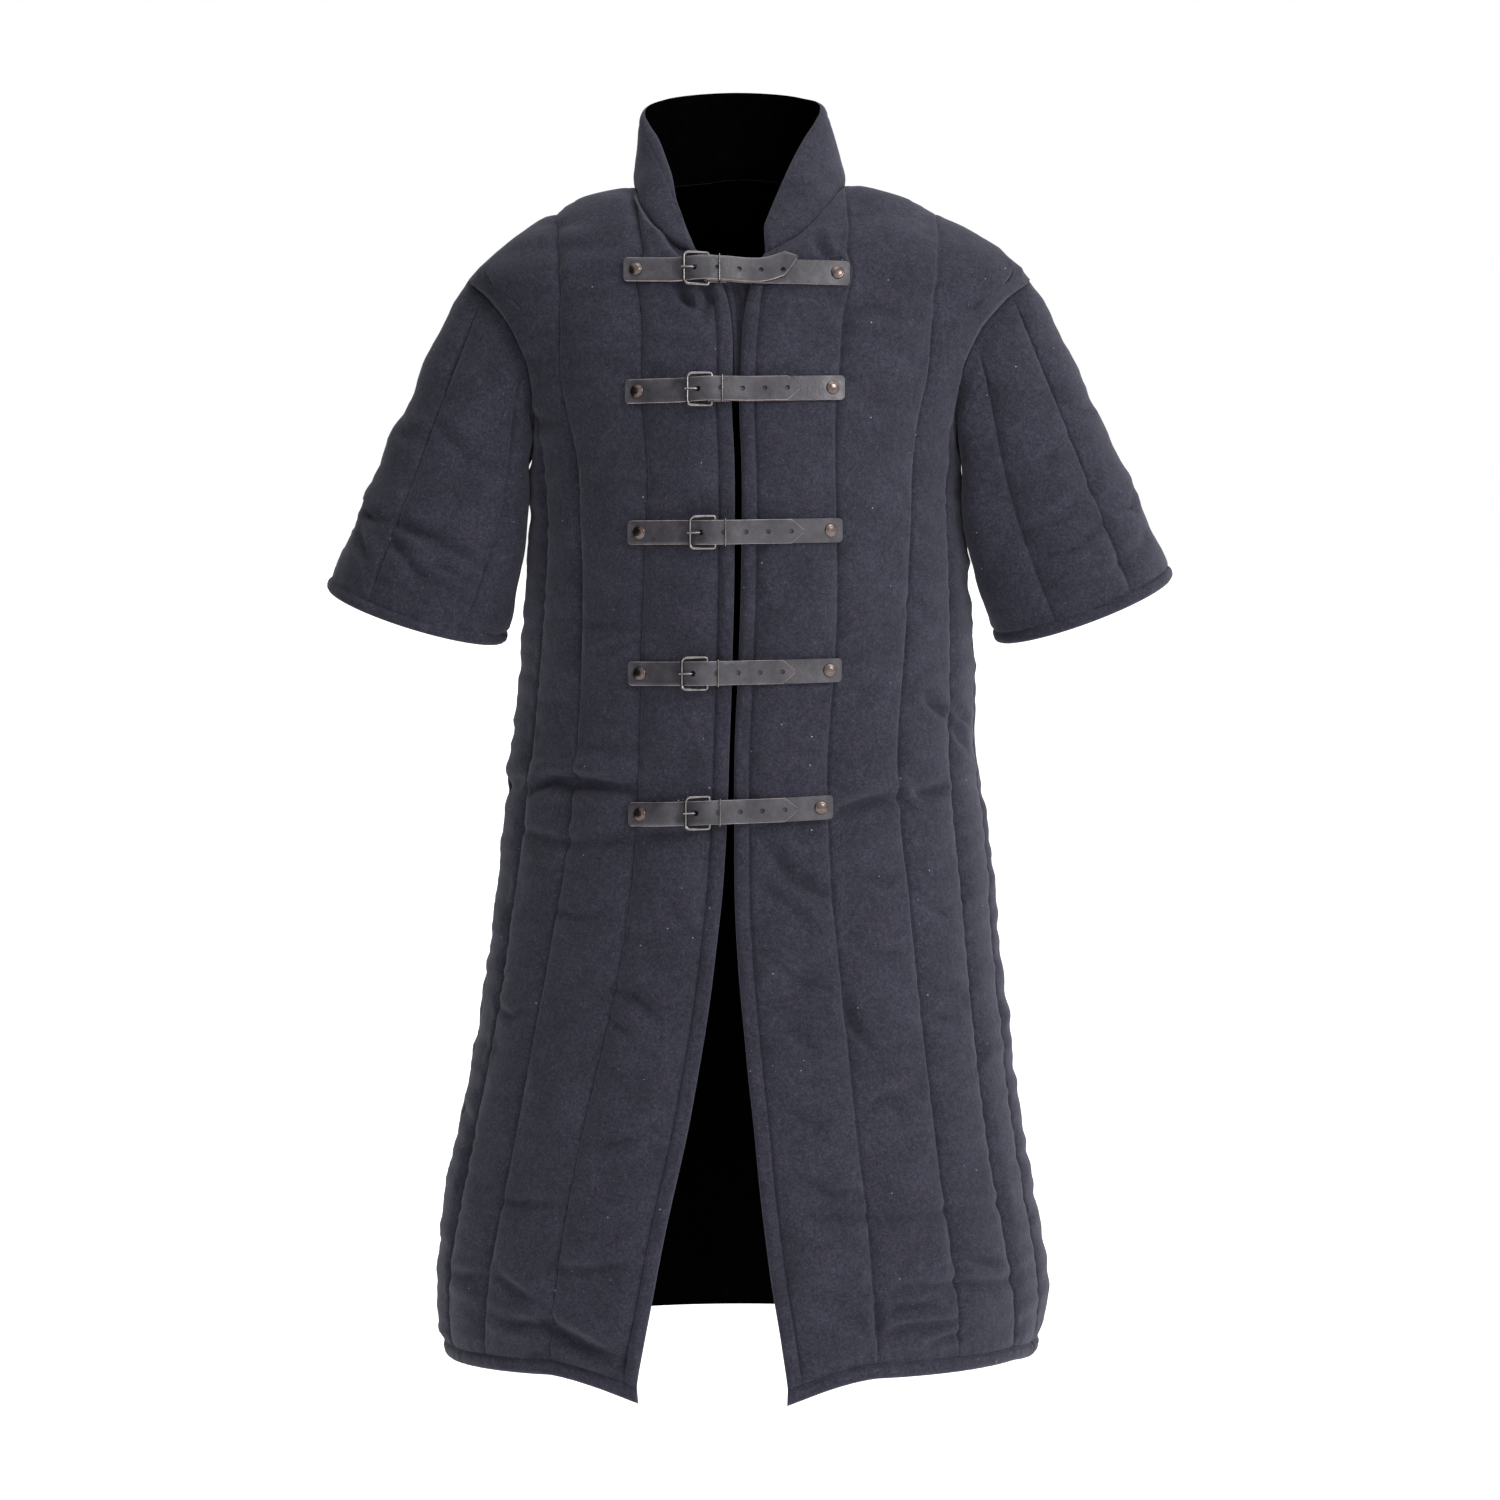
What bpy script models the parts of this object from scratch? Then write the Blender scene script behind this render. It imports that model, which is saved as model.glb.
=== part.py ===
"""Quilted, padded gambeson with half sleeves, stand collar and five buckled leather straps.

Metres, +Z up, the front faces -Y and the wearer's left arm is at +X. The origin is where the
wearer holds the coat up: midway between the shoulders, level with the base of the neck. The coat
hangs hollow, as worn. Each cloth panel is a padded wall: a plain inside, and an outside raised
between the rows of quilting. Run with: blender --background --python part.py
"""

import math
from collections import namedtuple

import bpy
import numpy as np
from mathutils import Vector
from mathutils.bvhtree import BVHTree
from mathutils.kdtree import KDTree

# Cloth: the wall at a row of stitching, how far the wadding lifts it between rows, and the seams
WALL = 0.0042
LOFT = 0.0048
ROLL_LOFT = 0.0018
BORDER = 0.013
SEAM_GAP = 0.0003
RETREAT = 0.65
MEETING = 0.00005
EDGE_REACH = 0.004
SPLIT_WAY = (0.31, 1.0, 0.57)
SEAM_FADE = 0.016
ARMHOLE_FADE = 0.034
CROWN_POWER = 2.6
CROWN_SOFTNESS = 0.8

# Heights that the panels are laid out from
ARMPIT = -0.235
SHORT = 0.150
CHEST_ROW = -0.27
BACK_NECK = 0.012
SHOULDER_POINT = -0.078

# The coat's outline, a row for each height: where its middle lies, half its width, and how far
# its front, its widest line and its back lie from the shoulder line
Section = namedtuple("Section", "height middle half_width front widest back")
SECTIONS = [
    Section(0.030, 0.000, 0.030, 0.000, 0.005, 0.050),
    Section(0.012, 0.000, 0.060, 0.012, 0.004, 0.064),
    Section(0.000, 0.000, 0.093, 0.032, 0.003, 0.072),
    Section(-0.009, 0.000, 0.1230, 0.048, 0.002, 0.077),
    Section(-0.0175, 0.001, 0.1500, 0.058, 0.002, 0.082),
    Section(-0.026, 0.002, 0.1700, 0.066, 0.002, 0.087),
    Section(-0.035, 0.003, 0.1880, 0.074, 0.003, 0.092),
    Section(-0.0435, 0.004, 0.2020, 0.081, 0.003, 0.097),
    Section(-0.052, 0.004, 0.2140, 0.087, 0.004, 0.101),
    Section(-0.061, 0.004, 0.2240, 0.092, 0.005, 0.104),
    Section(-0.070, 0.004, 0.2340, 0.097, 0.006, 0.107),
    Section(-0.078, 0.004, 0.2420, 0.101, 0.007, 0.110),
    Section(-0.100, 0.003, 0.2350, 0.110, 0.009, 0.117),
    Section(-0.125, 0.002, 0.2220, 0.119, 0.011, 0.123),
    Section(-0.155, 0.001, 0.2080, 0.128, 0.014, 0.128),
    Section(-0.190, 0.000, 0.1960, 0.136, 0.017, 0.132),
    Section(-0.235, 0.002, 0.1865, 0.141, 0.020, 0.134),
    Section(-0.300, 0.003, 0.1870, 0.142, 0.020, 0.130),
    Section(-0.357, 0.003, 0.1910, 0.139, 0.020, 0.124),
    Section(-0.410, 0.002, 0.1950, 0.136, 0.018, 0.120),
    Section(-0.480, 0.000, 0.2000, 0.134, 0.016, 0.120),
    Section(-0.550, 0.000, 0.2075, 0.136, 0.014, 0.128),
    Section(-0.620, 0.000, 0.2160, 0.142, 0.012, 0.142),
    Section(-0.690, 0.000, 0.2240, 0.150, 0.010, 0.156),
    Section(-0.775, -0.002, 0.2370, 0.161, 0.009, 0.169),
    Section(-0.850, -0.004, 0.2500, 0.170, 0.009, 0.179),
    Section(-0.910, -0.004, 0.2615, 0.177, 0.009, 0.187),
    Section(-0.960, -0.003, 0.2660, 0.182, 0.009, 0.193),
    Section(-1.000, -0.003, 0.2620, 0.184, 0.009, 0.196),
    Section(-1.035, -0.003, 0.2540, 0.184, 0.009, 0.197),
]

# Where the front opening, three rows of quilting and the side seam run below the armpit, in
# degrees round the coat from its front, and the height of the hem below each of them
Lines = namedtuple("Lines", "height opening first second third side")
RIGHT_LINES = [
    Lines(-0.235, -3.0, -26.5, -51.0, -66.0, -90.0),
    Lines(-0.360, -3.4, -27.4, -47.0, -65.0, -90.0),
    Lines(-0.520, -3.7, -25.9, -45.2, -65.0, -88.0),
    Lines(-0.620, -5.3, -27.0, -47.5, -67.0, -86.5),
    Lines(-0.690, -7.5, -29.5, -50.5, -68.5, -86.0),
    Lines(-0.775, -9.9, -32.8, -51.8, -69.5, -86.0),
    Lines(-0.860, -13.2, -34.8, -52.6, -69.5, -86.0),
    Lines(-0.940, -16.2, -36.0, -54.2, -71.0, -86.0),
    Lines(-1.010, -19.5, -38.0, -57.0, -73.0, -87.0),
]
LEFT_LINES = [
    Lines(-0.235, -1.2, 23.8, 50.0, 66.5, 90.0),
    Lines(-0.360, -1.8, 23.2, 45.0, 64.5, 88.0),
    Lines(-0.520, -2.3, 20.2, 40.0, 60.5, 83.0),
    Lines(-0.620, -1.9, 20.5, 41.0, 60.3, 78.5),
    Lines(-0.690, -0.6, 22.0, 41.5, 59.8, 76.0),
    Lines(-0.775, 2.1, 23.4, 42.7, 59.8, 75.0),
    Lines(-0.860, 4.4, 25.0, 43.4, 60.5, 75.0),
    Lines(-0.940, 6.4, 25.2, 43.8, 61.5, 75.5),
    Lines(-1.010, 8.8, 26.3, 44.8, 64.0, 77.0),
]
RIGHT_HEM = Lines(None, -1.023, -1.006, -1.012, -1.017, -1.020)
LEFT_HEM = Lines(None, -1.023, -1.004, -1.007, -1.010, -1.016)
BACK_HEM = -1.021
# How much of the way from the front corner to the first row the border takes, and how quickly
# the hem rises from that corner
CORNER_SHARE = 0.15
CORNER_POWER = 1.7
# The back's rows of quilting, as shares of the angle from the centre back to the side seam
BACK_SHARES = (0.0, 0.13, 0.34, 0.56, 0.78, 1.0)

# Where the tops of the panels' columns lie: across from the middle, unsigned, and their height.
# Column 0 is the front opening, 1 its row of stitching, 2 the neck point and 3 the second row
Top = namedtuple("Top", "column right_across right_height left_across left_height")
NECKLINE = [
    Top(0.00, 0.0440, -0.0600, -0.0140, -0.0605),
    Top(1.00, 0.0565, -0.0570, -0.0260, -0.0550),
    Top(1.25, 0.0680, -0.0490, -0.0400, -0.0470),
    Top(1.50, 0.0785, -0.0380, -0.0535, -0.0360),
    Top(1.75, 0.0875, -0.0230, -0.0680, -0.0210),
    Top(2.00, 0.0930, 0.0000, -0.0880, 0.0018),
]
SECOND_TOP = 0.163
BACK_CENTRE_ROW = 0.031
# How late the fronts' border, the back's border, the first row and the second row turn aside to
# their places at the top: 1 is evenly, more is later
FRONT_LEAD = 6.0
BACK_LEAD = 1.0
FIRST_LEAD = 1.0
SECOND_LEAD = 0.6

# The armhole, from the shoulder point to the armpit: which way round the coat its edge lies
Armhole = namedtuple("Armhole", "column height angle")
ARMHOLE = [
    Armhole(3.2857, -0.078, 90.0),
    Armhole(3.4286, -0.089, 75.5),
    Armhole(3.5714, -0.101, 69.5),
    Armhole(3.7143, -0.121, 64.8),
    Armhole(3.8571, -0.150, 63.6),
    Armhole(4, -0.182, 66.0),
    Armhole(4.3333, -0.207, 71.8),
    Armhole(4.6667, -0.226, 80.0),
    Armhole(5, -0.235, 90.0),
]

# Columns of points across each panel, by channel of quilting, and rows down it
COLUMNS = np.array([
    0, 0.5, 1, 1.25, 1.5, 1.75, 1.88, 1.955, 2, 2.25, 2.5, 2.75, 3, 3.14, 3.2857, 3.36, 3.4286,
    3.5714, 3.7143, 3.8571, 4, 4.3333, 4.6667, 5,
])
NECK_COLUMN = 8
SHOULDER_COLUMN = 14
UPPER_ROWS = (0, 0.08, 0.17, 0.27, 0.38, 0.50, 0.64, 0.80, 1)
LOWER_ROWS = (
    -0.33, -0.39, -0.45, -0.495, -0.515, -0.535, -0.59, -0.66, -0.73, -0.80, -0.87, -0.93, -0.975,
)

# The largest folds: a trough across the quilting at the waist, where the coat bends
Fold = namedtuple("Fold", "side start end height width depth")
FOLDS = [
    Fold(-1, 2.1, 3.9, -0.515, 0.014, 0.0045),
    Fold(1, 1.9, 3.4, -0.515, 0.012, 0.0040),
]

# Sleeve: the cuff's ring, how it leaves the armpit, and the rings between armhole and cuff
CUFF_MIDDLE = {-1: (-0.2860, 0.006, -0.3695), 1: (0.2965, 0.006, -0.3640)}
CUFF_OUTWARD = {-1: (-0.0765, 0.0, 0.0240), 1: (0.0760, 0.0, 0.0285)}
CUFF_FORWARD = (0.0, -0.074, -0.009)
CUFF_TWIST = -4.4
UNDERARM_SWING = 0.060
UNDERARM_RISE = 0.020
# How far each place round a sleeve leans in against the body, halfway down it
SLEEVE_LEAN = [(0, 0), (6, 0), (8, 0.0045), (10, 0.0135), (12, 0.017), (13, 0.009), (14, 0.003),
               (15, 0), (28, 0)]
# Places round each sleeve, from its shoulder point forwards, that have a row of stitching
SLEEVE_STITCHES = {-1: (0, 5, 10, 15, 19, 24), 1: (0, 5, 9, 14, 18, 23)}
CUFF_FADE = 0.08
CUFF_STITCH = 0.90
TOP_FADE = 0.12
SLEEVE_ROWS = (0, 0.05, 0.14, 0.26, 0.40, 0.55, 0.70, 0.83, 0.94, 1)
ARMHOLE_PARTS = (2, 2, 2, 2, 2, 1, 1, 1, 1)

# Collar: its upper edge from the right front corner, round the back, to the left front corner
Edge = namedtuple("Edge", "share across depth height")
COLLAR_EDGE = [
    Edge(0.000, -0.0515, -0.066, -0.0310),
    Edge(0.050, -0.0575, -0.052, -0.0125),
    Edge(0.092, -0.0605, -0.043, 0.0050),
    Edge(0.136, -0.0665, -0.033, 0.0220),
    Edge(0.187, -0.0745, -0.019, 0.0405),
    Edge(0.250, -0.0870, 0.000, 0.0595),
    Edge(0.375, -0.0700, 0.046, 0.0790),
    Edge(0.500, -0.0100, 0.068, 0.0870),
    Edge(0.625, 0.0495, 0.048, 0.0810),
    Edge(0.750, 0.0670, 0.000, 0.0635),
    Edge(0.813, 0.0520, -0.021, 0.0400),
    Edge(0.864, 0.0405, -0.036, 0.0190),
    Edge(0.908, 0.0300, -0.048, -0.0040),
    Edge(0.950, 0.0225, -0.058, -0.0220),
    Edge(1.000, 0.0165, -0.068, -0.0400),
]
COLLAR_ROWS = (0, 0.15, 0.38, 0.62, 0.84, 1)
COLLAR_LOFT = 0.0035

# Straps, a row for each from the neck down: the rivets' places, and where the buckle's outer bar
# and the tongue's tip lie across the coat
Strap = namedtuple("Strap", "right_rivet right_height left_rivet left_height bar tip")
STRAPS = [
    Strap(-0.0900, -0.0770, 0.0780, -0.0800, -0.0490, 0.0440),
    Strap(-0.0880, -0.1790, 0.0730, -0.1760, -0.0460, 0.0460),
    Strap(-0.0860, -0.2960, 0.0710, -0.2940, -0.0430, 0.0490),
    Strap(-0.0860, -0.4140, 0.0710, -0.4110, -0.0500, 0.0420),
    Strap(-0.0860, -0.5320, 0.0640, -0.5260, -0.0480, 0.0440),
]
STRAP_WIDTH = 0.020
LEATHER = 0.0020
STRAP_END = 0.0105
STRAP_CORNER = 0.0025
POINT_LENGTH = 0.010
POINT_HALF = 0.0012
PROBE_SHARE = 0.52
TURN_REACH = 0.012
CLEAR = 0.0003
BED_CLEAR = 0.0008
REACH = 0.0085
BAR_RADIUS = 0.0012
BUCKLE_REACH = 0.0195
BUCKLE_HALF_HEIGHT = 0.0133
BUCKLE_CORNER = 0.004
HINGE_CORNER = 0.0012
FRAME_SLACK = 0.0004
KEEPER_RADIUS = 0.0006
KEEPER_FROM_HINGE = 0.0090
KEEPER_HALF_HEIGHT = 0.0112
KEEPER_CORNER = 0.0010
KEEPER_SLACK = 0.0002
FOLD_BACK = 0.0150
SETTLE = 0.026
RISE_START = 0.012
HOLE_RADIUS = 0.0021
PRONG_HOLE_RADIUS = 0.0024
HOLE_STEP = 0.0183
PRONG_FROM_BAR = 0.0085
HOLES = 5
PRONG_RADIUS = 0.0008
# The prong's route: past the outer bar and below its own top, then past the bar and off the bed
PRONG_TOP = ((-0.0018, 0.0), (0.0045, 0.0), (0.0073, 0.0010), (0.0091, 0.0036))
PRONG_END = ((0.0112, 0.0041), (0.0141, 0.0037))
CUTTER_DEPTH = 0.006
RIVET_RADIUS = 0.0056
RIVET_HEIGHT = 0.0024

# A rivet's half section, as shares of its radius and height
RIVET_SECTION = ((0.0, 1.0), (0.45, 0.90), (0.80, 0.58), (1.0, 0.16), (0.92, 0.0), (0.0, 0.0))

# Colours as linear red, green and blue, with roughness and metallic value
Finish = namedtuple("Finish", "colour roughness metallic")
WOOL = Finish((0.040, 0.041, 0.056), 0.95, 0.0)
BLACK_LEATHER = Finish((0.050, 0.047, 0.050), 0.42, 0.0)
DARK_NICKEL = Finish((0.33, 0.31, 0.30), 0.30, 1.0)


def smooth_between(at, places, values):
    """A smooth curve through values at places, read at one or many points between them."""
    order = np.argsort(places)
    places, values = np.asarray(places, float)[order], np.asarray(values, float)[order]
    slopes = np.gradient(values, places)
    at = np.asarray(at, float)
    low = np.clip(np.searchsorted(places, at) - 1, 0, len(places) - 2)
    step = places[low + 1] - places[low]
    t = np.clip((at - places[low]) / step, 0, 1)
    return (
        (2 * t**3 - 3 * t**2 + 1) * values[low]
        + (t**3 - 2 * t**2 + t) * step * slopes[low]
        + (3 * t**2 - 2 * t**3) * values[low + 1]
        + (t**3 - t**2) * step * slopes[low + 1]
    )


def column_of(table, name, at):
    """One named column of a table, read smoothly at the heights given."""
    return smooth_between(at, [row.height for row in table], [getattr(row, name) for row in table])


def ease(t):
    """Rises smoothly from 0 to 1."""
    t = np.clip(t, 0, 1)
    return t * t * (3 - 2 * t)


def body_point(angle, height):
    """A point of the coat: half an ellipse in front and half behind at each height, angle in
    degrees from the centre front, positive towards +X."""
    middle, half = column_of(SECTIONS, "middle", height), column_of(SECTIONS, "half_width", height)
    front, widest = column_of(SECTIONS, "front", height), column_of(SECTIONS, "widest", height)
    rear = column_of(SECTIONS, "back", height)
    turn = np.radians(angle)
    reach = np.where(np.cos(turn) > 0, front + widest, rear - widest)
    return np.stack([middle + half * np.sin(turn), widest - reach * np.cos(turn), height], -1)


def shoulder_height(across):
    """The height at which the shoulder's outline is this far from the coat's middle."""
    heights = np.linspace(BACK_NECK, SHOULDER_POINT, 400)
    return np.interp(across, column_of(SECTIONS, "half_width", heights), heights)


class Panel:
    """A front or half the back: columns 0 to 5 run from its middle to its side seam, whole
    numbers being rows of stitching. Each hangs from the neckline, shoulder seam or armhole."""

    def __init__(self, side, back):
        self.side, self.back = side, back
        self.table = RIGHT_LINES if side < 0 else LEFT_LINES
        self.hem = RIGHT_HEM if side < 0 else LEFT_HEM
        self.edge_columns = np.linspace(2, 5, 1201)
        self.edge_heights = self.tops(self.edge_columns)[0]

    def tops(self, column):
        """The height of the top of each column, and how far across it lies, unsigned, for the
        columns that are led by distance."""
        word, out = ("right", 1) if self.side < 0 else ("left", -1)
        places = [top.column for top in NECKLINE]
        neck = smooth_between(column, places, [getattr(t, word + "_height") for t in NECKLINE])
        across = out * smooth_between(column, places, [getattr(t, word + "_across") for t in NECKLINE])
        neck_height = getattr(NECKLINE[-1], word + "_height")
        neck_point = column_of(SECTIONS, "half_width", neck_height)
        if self.back:
            neck = BACK_NECK + (neck_height - BACK_NECK) * (column / 2) ** 2
            across = np.interp(column, (0, 1, 2), (0, BACK_CENTRE_ROW, neck_point))
        corner = ARMHOLE[0].column
        reach = column_of(SECTIONS, "half_width", SHOULDER_POINT)
        seam = np.interp(column, (2, 3, corner), (neck_point, SECOND_TOP, reach))
        hole = smooth_between(column, [a.column for a in ARMHOLE], [a.height for a in ARMHOLE])
        height = np.where(column < 2, neck, np.where(column < corner, shoulder_height(seam), hole))
        return height, np.where(column < 2, across, seam)

    def below_armpit(self, column, height):
        """The angle of each column at and below the armpit, unsigned, from this panel's middle:
        the rows of stitching lie where the tables say, and others are shared out evenly."""
        height = np.minimum(height, ARMPIT)
        if self.back:
            side = 180 - np.abs(column_of(self.table, "side", height))
            return np.interp(column, np.arange(6), BACK_SHARES) * side
        lines = [self.side * column_of(self.table, name, height) for name in Lines._fields[1:]]
        border = np.degrees(BORDER / column_of(SECTIONS, "half_width", height))
        lines.insert(1, lines[0] + border)
        low = np.minimum(column.astype(int), 4)
        start, end = np.choose(low, lines[:5]), np.choose(low, lines[1:])
        return start + (end - start) * (column - low)

    @staticmethod
    def edge_angle(column):
        """The angle at which a column meets the shoulder seam or the armhole."""
        hole = smooth_between(column, [a.column for a in ARMHOLE], [a.angle for a in ARMHOLE])
        return np.where(column > ARMHOLE[0].column, hole, 90.0)

    def led(self, column, height):
        """The angle of a column up to the second row: above the armpit it is led across, by
        distance, to its place at the top."""
        angle = self.below_armpit(column, height)
        top, across = self.tops(column)
        rise = np.clip((height - ARMPIT) / np.maximum(top - ARMPIT, 1e-6), 0, 1)
        border = BACK_LEAD if self.back else FRONT_LEAD
        lead = rise ** np.interp(column, (1, 2, 3), (border, FIRST_LEAD, SECOND_LEAD))
        start = column_of(SECTIONS, "half_width", ARMPIT) * np.sin(np.radians(angle))
        sine = (start + (across - start) * lead) / column_of(SECTIONS, "half_width", height)
        return np.where(height > ARMPIT, np.degrees(np.arcsin(np.clip(sine, -1, 1))), angle)

    def angles(self, column, height):
        """The angle of each point of the panel's grid, from the coat's centre front. Above the
        armpit, points outside the last row of stitching are shared out as far as the edge."""
        edge = np.interp(-height, -self.edge_heights, self.edge_columns)
        last = np.where(edge < 3, 2.0, 3.0)
        share, first, whole = [self.below_armpit(c, height * 0 + ARMPIT) for c in (column, last, edge)]
        part = np.clip((share - first) / np.maximum(whole - first, 1e-6), 0, 1)
        inner = self.led(last, height)
        outer = inner + (self.edge_angle(edge) - inner) * part
        beside = (height > ARMPIT) & (column > last)
        below = self.below_armpit(column, height)
        angle = np.where(beside, outer, np.where(column > 3, below, self.led(column, height)))
        at_edge = (height > ARMPIT) & (column > edge - EDGE_REACH)
        angle = np.where(at_edge, self.edge_angle(column), angle)
        return self.side * (180 - angle if self.back else angle)

    def grid(self, columns, upper, lower):
        """Points (row, column), with each one's column number, height and distance from the
        top of its column."""
        tops = self.tops(columns)[0]
        share = np.interp(columns, (0, 1, 2), (0, CORNER_SHARE, 1))
        rise = (self.hem.first - self.hem.opening) * (1 - (1 - share) ** CORNER_POWER)
        hems = np.where(columns < 2, self.hem.opening + rise,
                        np.interp(columns, (2, 3, 4, 5), self.hem[2:]))
        if self.back:
            hems = BACK_HEM + (self.hem.side - BACK_HEM) * (columns / 5) ** 2
        upper = np.asarray(upper)[:, None]
        heights = np.concatenate([
            tops - (tops - CHEST_ROW) * upper ** (1 + np.minimum((tops - CHEST_ROW) / SHORT, 1)),
            np.repeat(np.asarray(lower)[:, None], len(columns), 1),
            (hems + BORDER)[None], (hems + BORDER / 2)[None], hems[None],
        ])
        column = np.broadcast_to(columns, heights.shape)
        return body_point(self.angles(column, heights), heights), column, heights, tops - heights


def channel_rise(share):
    """How far wadding lifts the cloth, from 0 at a row of stitching to 1 between two rows."""
    return np.clip(1 - np.abs(2 * share - 1) ** CROWN_POWER, 0, 1) ** CROWN_SOFTNESS


def normals_of(grid, wraps):
    """The way out of the coat at each point of a grid, from its neighbours' directions."""
    down = np.gradient(grid, axis=0)
    if wraps:
        across = np.roll(grid, -1, 1) - np.roll(grid, 1, 1)
    else:
        across = np.gradient(grid, axis=1)
    normal = np.cross(down, across)
    return normal / np.maximum(np.linalg.norm(normal, axis=-1, keepdims=True), 1e-12)


def share_seam_normals(grids, normals):
    """Where panels meet at a point, all of them take the mean of their directions there."""
    border = []
    for grid, normal in zip(grids, normals):
        rows, columns = grid.shape[:2]
        for row, column in np.ndindex(rows, columns):
            if row in (0, rows - 1) or column in (0, columns - 1):
                border.append((Vector(grid[row, column]), normal, (row, column)))
    tree = KDTree(len(border))
    for number, (point, _, _) in enumerate(border):
        tree.insert(point, number)
    tree.balance()
    means = []
    for point, _, _ in border:
        meeting = [border[number] for _, number, _ in tree.find_range(point, MEETING)]
        mean = sum(normal[place] for _, normal, place in meeting)
        means.append(mean / max(np.linalg.norm(mean), 1e-9))
    for mean, (_, normal, place) in zip(means, border):
        normal[place] = mean


def even_seam_normals(ring):
    """Between the panels' own points on the armhole, the sleeve's seam turns evenly."""
    parts = ARMHOLE_PARTS + ARMHOLE_PARTS[::-1]
    starts = np.cumsum((0,) + parts)
    for start, part in zip(starts, parts):
        first, last = ring[start].copy(), ring[(start + part) % len(ring)].copy()
        for k in range(1, part):
            mean = first + (last - first) * k / part
            ring[start + k] = mean / np.linalg.norm(mean)


def retreat(grid, wraps):
    """Draws the grid's border in by half the seam gap, square to the border's own line."""
    out = grid.copy()
    pairs = [((0, slice(None)), (1, slice(None))), ((-1, slice(None)), (-2, slice(None)))]
    if not wraps:
        pairs += [((slice(None), 0), (slice(None), 1)), ((slice(None), -1), (slice(None), -2))]
    for border, inside in pairs:
        line = grid[border]
        if wraps:
            along = np.roll(line, -1, 0) - np.roll(line, 1, 0)
        else:
            along = np.gradient(line, axis=0)
        along = along / np.maximum(np.linalg.norm(along, axis=-1, keepdims=True), 1e-9)
        way = grid[inside] - line
        way = way - along * (way * along).sum(-1, keepdims=True)
        length = np.maximum(np.linalg.norm(way, axis=-1, keepdims=True), 1e-9)
        out[border] = out[border] + way / length * SEAM_GAP * RETREAT
    return out


def make_material(name, finish):
    """A plain material in the piece's own colour."""
    material = bpy.data.materials.new(name)
    material.use_nodes = True
    shader = material.node_tree.nodes["Principled BSDF"]
    shader.inputs["Base Color"].default_value = (*finish.colour, 1.0)
    shader.inputs["Roughness"].default_value = finish.roughness
    shader.inputs["Metallic"].default_value = finish.metallic
    return material


def add_piece(name, points, faces, finish, collection):
    """Links a mesh with its material and smooth shading under the name given."""
    mesh = bpy.data.meshes.new(name)
    mesh.from_pydata([tuple(p) for p in points], [], faces)
    mesh.materials.append(make_material(name, finish))
    mesh.shade_smooth()
    piece = bpy.data.objects.new(name, mesh)
    collection.objects.link(piece)
    return piece


def rim_faces(points, a, b, inner):
    """Two triangles between an outer edge of a wall and its inner edge. The two pieces at a seam
    split theirs alike: from the outer corner that lies first along one slanting direction."""
    if (points[b] - points[a]) @ np.array(SPLIT_WAY) > 0:
        return [(a, b, inner + b), (a, inner + b, inner + a)]
    return [(a, b, inner + a), (b, inner + b, inner + a)]


def wall_faces(points, rows, columns, wraps):
    """Faces of a closed wall whose outer grid comes first and whose inner grid follows it."""
    inner = rows * columns
    last = columns if wraps else columns - 1
    faces = []
    for row in range(rows - 1):
        for column in range(last):
            a, b = row * columns + column, row * columns + (column + 1) % columns
            c, d = b + columns, a + columns
            faces.append((a, d, c, b))
            faces.append((inner + a, inner + b, inner + c, inner + d))
    for row, outward in ((0, True), (rows - 1, False)):
        for column in range(last):
            a, b = row * columns + column, row * columns + (column + 1) % columns
            faces += rim_faces(points, a, b, inner) if outward else rim_faces(points, b, a, inner)
    if not wraps:
        for column, outward in ((0, False), (columns - 1, True)):
            for row in range(rows - 1):
                a, b = row * columns + column, (row + 1) * columns + column
                faces += rim_faces(points, a, b, inner) if outward else rim_faces(points, b, a, inner)
    return faces


def add_wall(name, outer, inner, finish, collection, wraps=False):
    """A closed wall between an outer and an inner grid of points."""
    rows, columns = outer.shape[:2]
    points = np.concatenate([outer.reshape(-1, 3), inner.reshape(-1, 3)])
    return add_piece(name, points, wall_faces(points, rows, columns, wraps), finish, collection)


def padded_wall(name, grid, normal, rise, collection, wraps=False):
    """A cloth panel: its inside plain, its outside raised along the normal by the quilting."""
    outer = retreat(grid + normal * rise[..., None], wraps)
    inner = retreat(grid - normal * WALL, wraps)
    return add_wall(name, outer, inner, WOOL, collection, wraps)


def panel_rise(panel, column, heights, depth_below):
    """The quilting's relief on a front or the back, with the rolled edge, hem and folds."""
    share = column - np.floor(column)
    if panel.back:
        share = np.where(column < 1, (1 + column) / 2, share)
    rise = LOFT * channel_rise(share)
    if not panel.back:
        rise = np.where(column < 1, ROLL_LOFT * channel_rise(column), rise)
    fade = np.interp(column, (3, ARMHOLE[0].column), (SEAM_FADE, ARMHOLE_FADE))
    rise = rise * ease(depth_below / fade)
    rise[-3] = 0
    rise[-2] = np.minimum(rise[-2], ROLL_LOFT)
    rise[-1] = 0
    for fold in FOLDS:
        if fold.side == panel.side and not panel.back:
            along = ease((column - fold.start) * 3) * ease((fold.end - column) * 3)
            dip = np.exp(-(((heights - fold.height) / fold.width) ** 2))
            rise = rise - fold.depth * along * dip * (rise > fold.depth)
    return rise


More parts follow.
